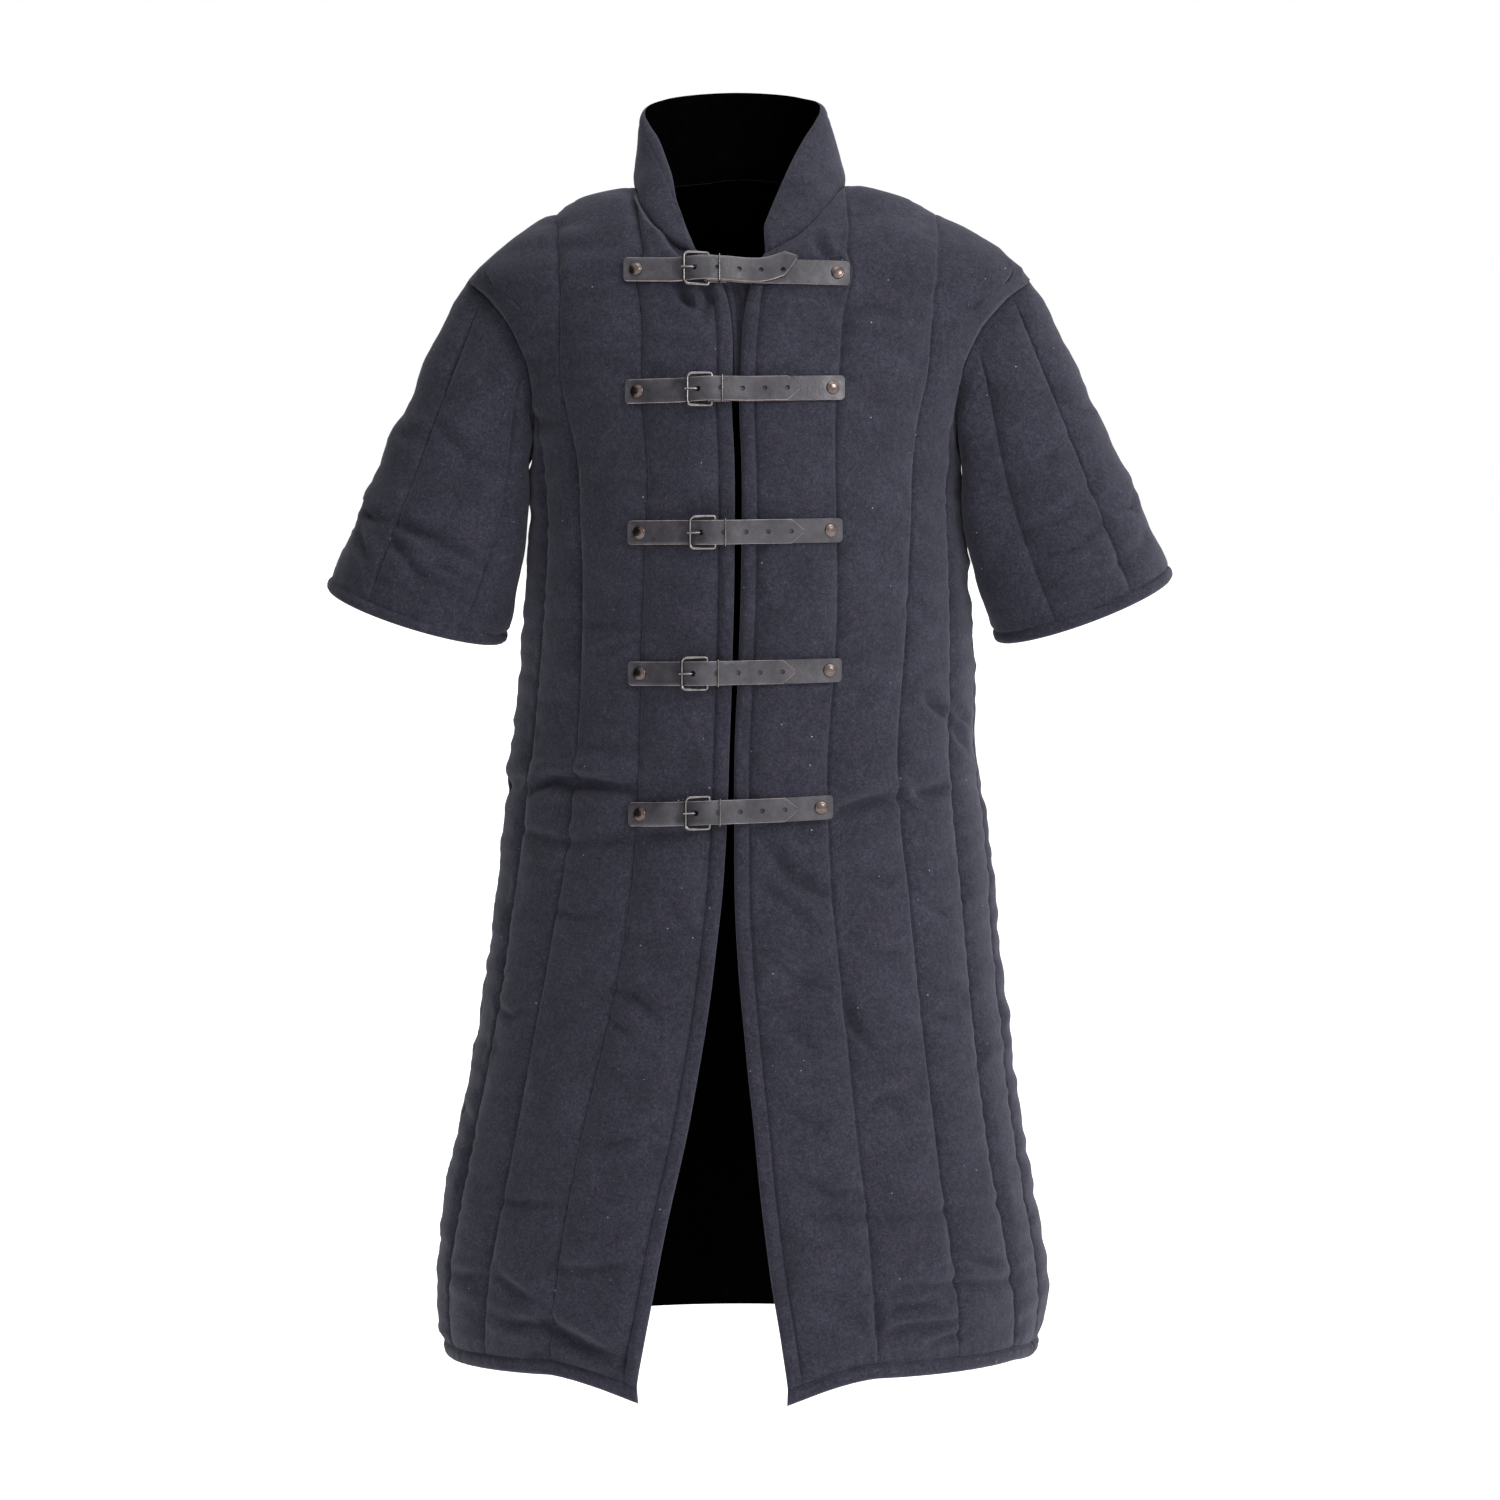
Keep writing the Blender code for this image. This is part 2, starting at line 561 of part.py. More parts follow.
def sleeve_grid(side, front, back):
    """Rings from the armhole, whose points are the panels' own, to the cuff. Each column leaves
    the armhole and reaches the cuff along a smooth curve."""
    ahead, behind = front[0, SHOULDER_COLUMN:], back[0, SHOULDER_COLUMN:]
    halves = []
    for edge in (ahead, behind):
        points = [edge[0]]
        for part, (a, b) in zip(ARMHOLE_PARTS, zip(edge[:-1], edge[1:])):
            points += [a + (b - a) * k / part for k in range(1, part + 1)]
        halves.append(np.array(points))
    ring = np.concatenate([halves[0], halves[1][-2:0:-1]])
    turn = np.radians(np.arange(len(ring)) * 360 / len(ring))
    shift = turn + math.radians(CUFF_TWIST)
    outward, forward = np.array(CUFF_OUTWARD[side]), np.array(CUFF_FORWARD)
    cuff = (
        np.array(CUFF_MIDDLE[side])
        + np.cos(shift)[:, None] * outward
        + np.sin(shift)[:, None] * forward
    )
    low = ((1 - np.cos(turn)) / 2) ** 2
    swing = np.stack([side * UNDERARM_SWING * low, 0 * low, UNDERARM_RISE * low], -1)
    leave = cuff - ring + swing
    arrive = cuff - ring
    t = np.asarray(SLEEVE_ROWS)[:, None, None]
    grid = (
        (2 * t**3 - 3 * t**2 + 1) * ring
        + (t**3 - 2 * t**2 + t) * leave
        + (3 * t**2 - 2 * t**3) * cuff
        + (t**3 - t**2) * arrive
    )
    around = np.arange(len(ring))
    places, leans = zip(*SLEEVE_LEAN)
    lean = np.interp(around, places, leans)
    grid[..., 0] -= side * lean * np.sin(np.pi * np.asarray(SLEEVE_ROWS))[:, None] ** 2
    rows = SLEEVE_STITCHES[side]
    share = np.interp(around, (*rows, len(ring)), np.arange(len(rows) + 1)) % 1
    return grid, share


def collar_grid(right, left, back_right, back_left):
    """A band that stands on the neckline, whose points are the panels' own, and ends at the
    upper edge given in COLLAR_EDGE."""
    neck = NECK_COLUMN
    quarters = [
        right[0, : neck + 1], back_right[0, : neck + 1][::-1], back_left[0, : neck + 1],
        left[0, : neck + 1][::-1],
    ]
    shares = []
    for number, quarter in enumerate(quarters):
        run = np.cumsum(np.linalg.norm(np.diff(quarter, axis=0), axis=1))
        shares.append((number + np.append(0, run / run[-1])) / 4)
    base = np.concatenate([quarters[0]] + [quarter[1:] for quarter in quarters[1:]])
    share = np.concatenate([shares[0]] + [part[1:] for part in shares[1:]])
    places = [edge.share for edge in COLLAR_EDGE]
    top = np.stack(
        [smooth_between(share, places, [getattr(e, n) for e in COLLAR_EDGE])
         for n in ("across", "depth", "height")], -1)
    t = np.asarray(COLLAR_ROWS)[:, None, None]
    grid = (base + (top - base) * t)[::-1, ::-1]
    return grid


def front_surface(pieces):
    """Finds the cloth in front at a place across and up the coat, or None over the opening."""
    trees = []
    for piece in pieces:
        corners = [v.co for v in piece.data.vertices]
        trees.append(BVHTree.FromPolygons(corners, [p.vertices for p in piece.data.polygons]))

    def depth(across, height):
        hits = [tree.ray_cast(Vector((across, -1, height)), Vector((0, 1, 0))) for tree in trees]
        depths = [hit[0].y for hit in hits if hit[0] is not None and hit[0].y < 0]
        return min(depths) if depths else None

    return depth


class StrapBed:
    """The band that a strap lies along: taut over the cloth between its two ends, and tilted as
    the cloth there is. Places on it are given as across, up from its middle, and lift off it."""

    def __init__(self, strap, depth):
        self.strap = strap
        low, high = strap.right_rivet - STRAP_END, strap.left_rivet + STRAP_END
        edge = STRAP_WIDTH * PROBE_SHARE
        top = depth(strap.right_rivet, strap.right_height + edge)
        bottom = depth(strap.right_rivet, strap.right_height - edge)
        self.tilt = (top - bottom) / (2 * edge)
        points = []
        for x in np.linspace(low, high, 90):
            middle = self.height(x)
            found = [(depth(x, middle + up), up) for up in np.linspace(-edge, edge, 7)]
            found = [y - self.tilt * up for y, up in found if y is not None]
            if found:
                points.append((x, min(found)))
        self.hull = self.taut(points)

    def height(self, across):
        s = self.strap
        slope = (s.left_height - s.right_height) / (s.left_rivet - s.right_rivet)
        return s.right_height + slope * (across - s.right_rivet)

    @staticmethod
    def taut(points):
        """The line a taut band takes in front of the points: their convex hull towards -Y."""
        hull = []
        for point in points:
            while len(hull) > 1:
                (ax, ay), (bx, by) = hull[-2], hull[-1]
                if (bx - ax) * (point[1] - ay) - (by - ay) * (point[0] - ax) <= 0:
                    hull.pop()
                else:
                    break
            hull.append(point)
        return np.array(hull)

    def depth(self, across):
        return np.interp(across, self.hull[:, 0], self.hull[:, 1])

    def point(self, across, up, lift):
        """A point of the strap, lifted square to the line that the strap lies along."""
        rise = self.depth(across + TURN_REACH) - self.depth(across - TURN_REACH)
        slope = rise / (2 * TURN_REACH)
        length = math.sqrt(1 + slope * slope + self.tilt * self.tilt)
        off = (lift + BED_CLEAR) / length
        return (
            across + slope * off,
            self.depth(across) + self.tilt * up - off,
            self.height(across) + up + self.tilt * off,
        )


def strap_wall(name, bed, stations, collection):
    """A leather strap through stations of (across, lift, half width)."""
    outer, inner = [], []
    for across, lift, half in stations:
        outer.append([bed.point(across, up, lift + LEATHER) for up in (-half, half)])
        inner.append([bed.point(across, up, lift) for up in (-half, half)])
    return add_wall(name, np.array(outer), np.array(inner), BLACK_LEATHER, collection)


def upper_leg_lift(across, hinge):
    """The buckle strap's lift: over the keeper and the hinge bar, and flat beyond them."""
    keeper = hinge + KEEPER_FROM_HINGE
    over_bar = LEATHER + CLEAR + 2 * BAR_RADIUS + CLEAR
    over_keeper = LEATHER + CLEAR + 2 * KEEPER_RADIUS + CLEAR
    if across < keeper:
        return over_bar + (over_keeper - over_bar) * float(ease((across - hinge) / (keeper - hinge)))
    return over_keeper * (1 - float(ease((across - keeper) / SETTLE)))


def tongue_lift(across, strap):
    """The tongue's lift: flat at its rivet, up through the buckle, then on the buckle strap."""
    hinge = strap.bar + BUCKLE_REACH
    top = upper_leg_lift(hinge, hinge) + LEATHER + CLEAR
    if across >= hinge:
        return upper_leg_lift(across, hinge) + LEATHER + CLEAR
    return top * float(ease((across - (strap.bar - RISE_START)) / (BUCKLE_REACH + RISE_START)))


def filled(places):
    """The places with others put between them, so that none lie further apart than REACH."""
    out = [places[0]]
    for a, b in zip(places[:-1], places[1:]):
        parts = math.ceil(abs(b - a) / REACH)
        out += [a + (b - a) * k / parts for k in range(1, parts + 1)]
    return out


def add_tongue(name, strap, bed, collection, cutters):
    """The pointed strap that passes through the buckle, with its row of punched holes."""
    half = STRAP_WIDTH / 2
    start = strap.right_rivet - STRAP_END
    hinge = strap.bar + BUCKLE_REACH
    keeper = hinge + KEEPER_FROM_HINGE
    places = [start + STRAP_CORNER, strap.bar - RISE_START, strap.bar, hinge, keeper,
              keeper + SETTLE, strap.tip - POINT_LENGTH]
    stations = [(start, 0.0, half - STRAP_CORNER)]
    stations += [(x, tongue_lift(x, strap), half) for x in filled(places)]
    for part in (0.5, 1):
        x = strap.tip - POINT_LENGTH * (1 - part)
        stations.append((x, tongue_lift(x, strap), half + (POINT_HALF - half) * part))
    tongue = strap_wall(name, bed, stations, collection)
    for k in range(HOLES):
        across = strap.bar + PRONG_FROM_BAR + k * HOLE_STEP
        if across > strap.tip - POINT_LENGTH:
            break
        radius = HOLE_RADIUS if k else PRONG_HOLE_RADIUS
        place = bed.point(across, 0, tongue_lift(across, strap) + LEATHER / 2)
        bpy.ops.mesh.primitive_cylinder_add(
            vertices=8, radius=radius, depth=CUTTER_DEPTH, location=place,
            rotation=(math.pi / 2, 0, 0))
        cutter = bpy.context.object
        cutter.name = f"{name}_cutter_{k}"
        cutter.display_type = "WIRE"
        cutter.hide_render = True
        for holder in list(cutter.users_collection):
            holder.objects.unlink(cutter)
        cutters.objects.link(cutter)
        cut = tongue.modifiers.new(f"hole_{k}", "BOOLEAN")
        cut.operation = "DIFFERENCE"
        cut.object = cutter
    return tongue


def add_buckle_strap(name, strap, bed, collection):
    """The strap riveted at the coat's left front, folded round the buckle's hinge bar."""
    half = STRAP_WIDTH / 2
    end = strap.left_rivet + STRAP_END
    hinge = strap.bar + BUCKLE_REACH
    keeper = hinge + KEEPER_FROM_HINGE
    centre = LEATHER + CLEAR + BAR_RADIUS
    inner_radius = BAR_RADIUS + CLEAR
    places = [end - STRAP_CORNER, strap.tip, strap.tip - POINT_LENGTH, keeper + SETTLE, keeper,
              hinge]
    outer = [(end, LEATHER, half - STRAP_CORNER)]
    inner = [(end, 0.0, half - STRAP_CORNER)]
    for x in filled(places):
        lift = upper_leg_lift(x, hinge)
        outer.append((x, lift + LEATHER, half))
        inner.append((x, lift, half))
    for turn in (45, 90, 135):
        c, s = math.cos(math.radians(turn)), math.sin(math.radians(turn))
        outer.append((hinge - (inner_radius + LEATHER) * s, centre + (inner_radius + LEATHER) * c, half))
        inner.append((hinge - inner_radius * s, centre + inner_radius * c, half))
    for x in (hinge, hinge + FOLD_BACK):
        outer.append((x, centre - inner_radius - LEATHER, half))
        inner.append((x, centre - inner_radius, half))
    grids = [
        np.array([[bed.point(x, up, lift) for up in (-h, h)] for x, lift, h in row[::-1]])
        for row in (outer, inner)
    ]
    return add_wall(name, grids[0], grids[1], BLACK_LEATHER, collection)


def add_wire(name, points, radius, closed, finish, collection):
    """A round wire through the points, as a curve with a bevel."""
    curve = bpy.data.curves.new(name, "CURVE")
    curve.dimensions = "3D"
    curve.bevel_depth = radius
    curve.bevel_resolution = 1
    curve.use_fill_caps = not closed
    spline = curve.splines.new("POLY")
    spline.points.add(len(points) - 1)
    for spot, point in zip(spline.points, points):
        spot.co = (*point, 1.0)
    spline.use_cyclic_u = closed
    curve.materials.append(make_material(name, finish))
    wire = bpy.data.objects.new(name, curve)
    collection.objects.link(wire)
    return wire


def frame_lift(across, strap):
    """The buckle frame lies in a plane from its hinge bar up to its outer bar on the tongue."""
    hinge = strap.bar + BUCKLE_REACH
    low = LEATHER + CLEAR + BAR_RADIUS
    high = tongue_lift(strap.bar, strap) + LEATHER + CLEAR + BAR_RADIUS + FRAME_SLACK
    return low + (high - low) * (hinge - across) / BUCKLE_REACH


def add_buckle(name, strap, bed, collection):
    """A rectangular frame whose outer corners are rounded, its hinge bar in the strap's fold."""
    hinge, half, corner = strap.bar + BUCKLE_REACH, BUCKLE_HALF_HEIGHT, BUCKLE_CORNER
    outline = [(hinge, half - HINGE_CORNER), (hinge - HINGE_CORNER, half)]
    for sign in (1, -1):
        turns = (90, 45, 0) if sign > 0 else (0, -45, -90)
        for turn in turns:
            c, s = math.cos(math.radians(turn)), math.sin(math.radians(turn))
            outline.append((strap.bar + corner * (1 - c), sign * (half - corner) + corner * s))
    outline += [(hinge - HINGE_CORNER, -half), (hinge, -half + HINGE_CORNER)]
    points = [bed.point(x, up, frame_lift(x, strap)) for x, up in outline]
    return add_wire(name, points, BAR_RADIUS, True, DARK_NICKEL, collection)


def add_prong(name, strap, bed, collection):
    """The prong: over the outer bar, down through the tongue's hole, to the hinge."""
    top = frame_lift(strap.bar, strap) + BAR_RADIUS + CLEAR + PRONG_RADIUS
    route = [(x, top - drop) for x, drop in PRONG_TOP] + list(PRONG_END)
    points = [bed.point(strap.bar + x, 0, lift) for x, lift in route]
    return add_wire(name, points, PRONG_RADIUS, False, DARK_NICKEL, collection)


def add_keeper(name, strap, bed, collection):
    """A wire loop round the buckle strap's upper leg and the tongue."""
    across = strap.bar + BUCKLE_REACH + KEEPER_FROM_HINGE
    low = LEATHER + CLEAR + KEEPER_RADIUS
    high = tongue_lift(across, strap) + LEATHER + CLEAR + KEEPER_RADIUS + KEEPER_SLACK
    half, corner = KEEPER_HALF_HEIGHT, KEEPER_CORNER
    outline = [(half - corner, low), (half, low + corner), (half, high - corner),
               (half - corner, high), (corner - half, high), (-half, high - corner),
               (-half, low + corner), (corner - half, low)]
    points = [bed.point(across, up, lift) for up, lift in outline]
    return add_wire(name, points, KEEPER_RADIUS, True, DARK_NICKEL, collection)


def add_rivet(name, across, bed, collection):
    """A domed rivet head on the strap's end, turned from its half section."""
    mesh = bpy.data.meshes.new(name)
    mesh.from_pydata([(RIVET_RADIUS * r, 0, RIVET_HEIGHT * h) for r, h in RIVET_SECTION],
                     [(k, k + 1) for k in range(len(RIVET_SECTION) - 1)], [])
    mesh.materials.append(make_material(name, DARK_NICKEL))
    rivet = bpy.data.objects.new(name, mesh)
    collection.objects.link(rivet)
    screw = rivet.modifiers.new("turn", "SCREW")
    screw.steps = screw.render_steps = 12
    screw.use_merge_vertices = True
    screw.merge_threshold = 0.00005
    base = Vector(bed.point(across, 0, LEATHER + CLEAR))
    above = Vector(bed.point(across, 0, LEATHER + CLEAR + 0.01))
    rivet.location = base
    rivet.rotation_euler = (above - base).to_track_quat("Z", "Y").to_euler()
    return rivet


def build_cloth(collection):
    """The six cloth pieces, laid out together so that their seams share points."""
    panels = {
        "front_right": Panel(-1, False), "front_left": Panel(1, False),
        "back_right": Panel(-1, True), "back_left": Panel(1, True),
    }
    laid, rises = {}, {}
    for name, panel in panels.items():
        grid, column, heights, below = panel.grid(COLUMNS, UPPER_ROWS, LOWER_ROWS)
        rise = panel_rise(panel, column, heights, below)
        laid[name], rises[name] = grid, rise
    collar = collar_grid(laid["front_right"], laid["front_left"], laid["back_right"], laid["back_left"])
    sleeves = {
        side: sleeve_grid(side, laid[f"front_{word}"], laid[f"back_{word}"])
        for side, word in ((-1, "right"), (1, "left"))
    }
    # Each grid is turned so that its rows run down and its columns run to the coat's left
    laid["back"] = np.concatenate([laid["back_left"][:, ::-1], laid["back_right"][:, 1:]], 1)
    rises["back"] = np.concatenate([rises["back_left"][:, ::-1], rises["back_right"][:, 1:]], 1)
    laid["front_right"] = laid["front_right"][:, ::-1]
    rises["front_right"] = rises["front_right"][:, ::-1]
    cloth = {name: laid[name] for name in ("front_right", "front_left", "back")}
    lift = {name: rises[name] for name in cloth}
    cloth["collar"] = collar
    share = np.asarray(COLLAR_ROWS)[::-1, None] * np.ones(collar.shape[1])
    lift["collar"] = COLLAR_LOFT * channel_rise(share)
    lift["collar"][:, (0, -1)] = 0
    for side, word in ((-1, "right"), (1, "left")):
        grid, channel = sleeves[side]
        rise = LOFT * channel_rise(channel) * np.ones(grid.shape[:2])
        along = np.asarray(SLEEVE_ROWS)[:, None]
        rise = rise * ease(along / TOP_FADE) * (1 - ease((along - CUFF_STITCH) / CUFF_FADE))
        if side > 0:
            grid, rise = np.roll(grid[:, ::-1], 1, 1), np.roll(rise[:, ::-1], 1, 1)
        cloth[f"sleeve_{word}"], lift[f"sleeve_{word}"] = grid, rise
    wraps = {name: name.startswith("sleeve") for name in cloth}
    normals = {name: normals_of(cloth[name], wraps[name]) for name in cloth}
    share_seam_normals(list(cloth.values()), list(normals.values()))
    for name in ("sleeve_right", "sleeve_left"):
        even_seam_normals(normals[name][0])
    return {
        name: padded_wall(name, cloth[name], normals[name], lift[name], collection, wraps[name])
        for name in cloth
    }


def main():
    for thing in list(bpy.data.objects):
        bpy.data.objects.remove(thing)
    collection = bpy.data.collections.new("gambeson")
    bpy.context.scene.collection.children.link(collection)
    cutters = bpy.data.collections.new("cutters")
    bpy.context.scene.collection.children.link(cutters)
    pieces = build_cloth(collection)
    depth = front_surface([pieces["front_right"], pieces["front_left"]])
    for number, strap in enumerate(STRAPS, 1):
        bed = StrapBed(strap, depth)
        add_tongue(f"tongue_{number}", strap, bed, collection, cutters)
        add_buckle_strap(f"buckle_strap_{number}", strap, bed, collection)
        add_buckle(f"buckle_{number}", strap, bed, collection)
        add_prong(f"prong_{number}", strap, bed, collection)
        add_keeper(f"keeper_{number}", strap, bed, collection)
        add_rivet(f"rivet_right_{number}", strap.right_rivet, bed, collection)
        add_rivet(f"rivet_left_{number}", strap.left_rivet, bed, collection)


if __name__ == "__main__":
    main()
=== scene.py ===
"""The gambeson dressed for a photograph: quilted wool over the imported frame, with its leather
straps, wire buckles and rivets, on a pale studio floor.

Metres, +Z up, the front faces -Y and the wearer's left arm is at +X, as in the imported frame.
Laid out as a Blender add-on and run as a script.
"""

import functools
import math
from collections import namedtuple

import bpy
import numpy as np
from bpy.props import FloatProperty, FloatVectorProperty, PointerProperty
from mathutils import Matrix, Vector
from mathutils.bvhtree import BVHTree


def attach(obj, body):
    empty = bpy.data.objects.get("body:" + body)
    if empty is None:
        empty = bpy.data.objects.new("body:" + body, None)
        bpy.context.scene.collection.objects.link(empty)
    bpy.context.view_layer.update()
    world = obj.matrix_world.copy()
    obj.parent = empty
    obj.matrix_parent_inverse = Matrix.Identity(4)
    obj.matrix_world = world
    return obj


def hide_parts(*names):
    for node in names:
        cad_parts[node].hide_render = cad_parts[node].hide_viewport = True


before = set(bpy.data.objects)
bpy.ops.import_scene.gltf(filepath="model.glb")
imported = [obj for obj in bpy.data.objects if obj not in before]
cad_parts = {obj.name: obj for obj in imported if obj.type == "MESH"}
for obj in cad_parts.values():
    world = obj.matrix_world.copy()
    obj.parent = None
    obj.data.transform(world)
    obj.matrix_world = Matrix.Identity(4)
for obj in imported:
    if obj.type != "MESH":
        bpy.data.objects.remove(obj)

bl_info = {
    "name": "Quilted gambeson",
    "version": (1, 0, 0),
    "blender": (4, 5, 0),
    "location": "3D View > Sidebar > Gambeson",
    "description": "Builds a quilted, buckled gambeson from its sections, rows of stitching and straps",
    "category": "Add Mesh",
}

# The coat's outline, a row for each height: where its middle lies, half its width, and how far
# its front, its widest line and its back lie from the shoulder line
SECTIONS = np.array([
    (0.030, 0.000, 0.030, 0.000, 0.005, 0.050), (0.012, 0.000, 0.060, 0.012, 0.004, 0.064),
    (0.000, 0.000, 0.093, 0.032, 0.003, 0.072), (-0.009, 0.000, 0.123, 0.048, 0.002, 0.077),
    (-0.0175, 0.001, 0.150, 0.058, 0.002, 0.082), (-0.026, 0.002, 0.170, 0.066, 0.002, 0.087),
    (-0.035, 0.003, 0.188, 0.074, 0.003, 0.092), (-0.0435, 0.004, 0.202, 0.081, 0.003, 0.097),
    (-0.052, 0.004, 0.214, 0.087, 0.004, 0.101), (-0.061, 0.004, 0.224, 0.092, 0.005, 0.104),
    (-0.070, 0.004, 0.234, 0.097, 0.006, 0.107), (-0.078, 0.004, 0.242, 0.101, 0.007, 0.110),
    (-0.100, 0.003, 0.235, 0.110, 0.009, 0.117), (-0.125, 0.002, 0.222, 0.119, 0.011, 0.123),
    (-0.155, 0.001, 0.208, 0.128, 0.014, 0.128), (-0.190, 0.000, 0.196, 0.136, 0.017, 0.132),
    (-0.235, 0.002, 0.1865, 0.141, 0.020, 0.134), (-0.300, 0.003, 0.187, 0.142, 0.020, 0.130),
    (-0.357, 0.003, 0.191, 0.139, 0.020, 0.124), (-0.410, 0.002, 0.195, 0.136, 0.018, 0.120),
    (-0.480, 0.000, 0.200, 0.134, 0.016, 0.120), (-0.550, 0.000, 0.2075, 0.136, 0.014, 0.128),
    (-0.620, 0.000, 0.216, 0.142, 0.012, 0.142), (-0.690, 0.000, 0.224, 0.150, 0.010, 0.156),
    (-0.775, -0.002, 0.237, 0.161, 0.009, 0.169), (-0.850, -0.004, 0.250, 0.170, 0.009, 0.179),
    (-0.910, -0.004, 0.2615, 0.177, 0.009, 0.187), (-0.960, -0.003, 0.266, 0.182, 0.009, 0.193),
    (-1.000, -0.003, 0.262, 0.184, 0.009, 0.196), (-1.035, -0.003, 0.254, 0.184, 0.009, 0.197),
])
MIDDLE, HALF_WIDTH, FRONT, WIDEST, BACK = 1, 2, 3, 4, 5

# Where the opening, three rows of quilting and the side seam run below the armpit: height, then
# degrees round the coat from its front; and the hem's height below each
RIGHT_LINES = np.array([
    (-0.235, -3.0, -26.5, -51.0, -66.0, -90.0), (-0.360, -3.4, -27.4, -47.0, -65.0, -90.0),
    (-0.520, -3.7, -25.9, -45.2, -65.0, -88.0), (-0.620, -5.3, -27.0, -47.5, -67.0, -86.5),
    (-0.690, -7.5, -29.5, -50.5, -68.5, -86.0), (-0.775, -9.9, -32.8, -51.8, -69.5, -86.0),
    (-0.860, -13.2, -34.8, -52.6, -69.5, -86.0), (-0.940, -16.2, -36.0, -54.2, -71.0, -86.0),
    (-1.010, -19.5, -38.0, -57.0, -73.0, -87.0),
])
LEFT_LINES = np.array([
    (-0.235, -1.2, 23.8, 50.0, 66.5, 90.0), (-0.360, -1.8, 23.2, 45.0, 64.5, 88.0),
    (-0.520, -2.3, 20.2, 40.0, 60.5, 83.0), (-0.620, -1.9, 20.5, 41.0, 60.3, 78.5),
    (-0.690, -0.6, 22.0, 41.5, 59.8, 76.0), (-0.775, 2.1, 23.4, 42.7, 59.8, 75.0),
    (-0.860, 4.4, 25.0, 43.4, 60.5, 75.0), (-0.940, 6.4, 25.2, 43.8, 61.5, 75.5),
    (-1.010, 8.8, 26.3, 44.8, 64.0, 77.0),
])
RIGHT_HEM = (-1.023, -1.006, -1.012, -1.017, -1.020)
LEFT_HEM = (-1.023, -1.004, -1.007, -1.010, -1.016)
BACK_HEM = -1.021
# How much of the way to the first row the front border takes at the hem, and how quickly the hem
# rises from its corner
CORNER_SHARE, CORNER_POWER = 0.15, 1.7
BACK_SHARES = (0.0, 0.13, 0.34, 0.56, 0.78, 1.0)

# The panels' tops by column: across and height on the right, across and height on the left
NECKLINE = np.array([
    (0.00, 0.0440, -0.0600, -0.0140, -0.0605), (1.00, 0.0565, -0.0570, -0.0260, -0.0550),
    (1.25, 0.0680, -0.0490, -0.0400, -0.0470), (1.50, 0.0785, -0.0380, -0.0535, -0.0360),
    (1.75, 0.0875, -0.0230, -0.0680, -0.0210), (2.00, 0.0930, 0.0000, -0.0880, 0.0018),
])
SECOND_TOP = 0.163
BACK_CENTRE_ROW = 0.031
FRONT_LEAD = 6.0
ARMHOLE = np.array([
    (3.2857, -0.078, 90.0), (3.4286, -0.089, 75.5), (3.5714, -0.101, 69.5),
    (3.7143, -0.121, 64.8), (3.8571, -0.150, 63.6), (4, -0.182, 66.0),
    (4.3333, -0.207, 71.8), (4.6667, -0.226, 80.0), (5, -0.235, 90.0),
])
ARMHOLE_PARTS = (2, 2, 2, 2, 2, 1, 1, 1, 1)
ARMPIT, SHORT, CHEST_ROW = -0.235, 0.150, -0.27
BACK_NECK, SHOULDER_POINT = 0.012, -0.078
EDGE_REACH = 0.004
COLUMNS = np.array([
    0, 0.5, 1, 1.25, 1.5, 1.75, 1.88, 1.955, 2, 2.25, 2.5, 2.75, 3, 3.14, 3.2857, 3.36, 3.4286,
    3.5714, 3.7143, 3.8571, 4, 4.3333, 4.6667, 5,
])
UPPER_ROWS = (0, 0.08, 0.17, 0.27, 0.38, 0.50, 0.64, 0.80, 1)
LOWER_ROWS = (
    -0.33, -0.39, -0.45, -0.495, -0.515, -0.535, -0.59, -0.66, -0.73, -0.80, -0.87, -0.93, -0.975,
)

# Sleeves: the cuff's ring, and how the sleeve leaves the armhole
CUFF_MIDDLE = {-1: (-0.2860, 0.006, -0.3695), 1: (0.2965, 0.006, -0.3640)}
CUFF_OUTWARD = {-1: (-0.0765, 0.0, 0.0240), 1: (0.0760, 0.0, 0.0285)}
CUFF_FORWARD = (0.0, -0.074, -0.009)
CUFF_TWIST = -4.4
UNDERARM_SWING = 0.060
UNDERARM_RISE = 0.020
# How far each place round a sleeve leans in against the body, halfway down it
SLEEVE_LEAN = np.array([
    (0, 0), (6, 0), (8, 0.0064), (10, 0.0198), (12, 0.0245), (13, 0.0143), (14, 0.0042), (15, 0), (28, 0),
])
# How much of that lean each sleeve takes
LEAN_SHARE = {-1: 0.72, 1: 0.85}
# Places round each sleeve, from its shoulder point forwards, that have a row of stitching
SLEEVE_STITCHES = {-1: (0, 5, 10, 15, 19, 24, 28), 1: (0, 5, 9, 14, 18, 23, 28)}

# A sleeve's fine rows, and how they gather towards its two ends
SLEEVE_ROWS = (78, 0.55)
# How deep the cuff is turned up, and how square a turned edge's roll is
CUFF_TURN, ROLL_POWER = 0.0105, 2.4

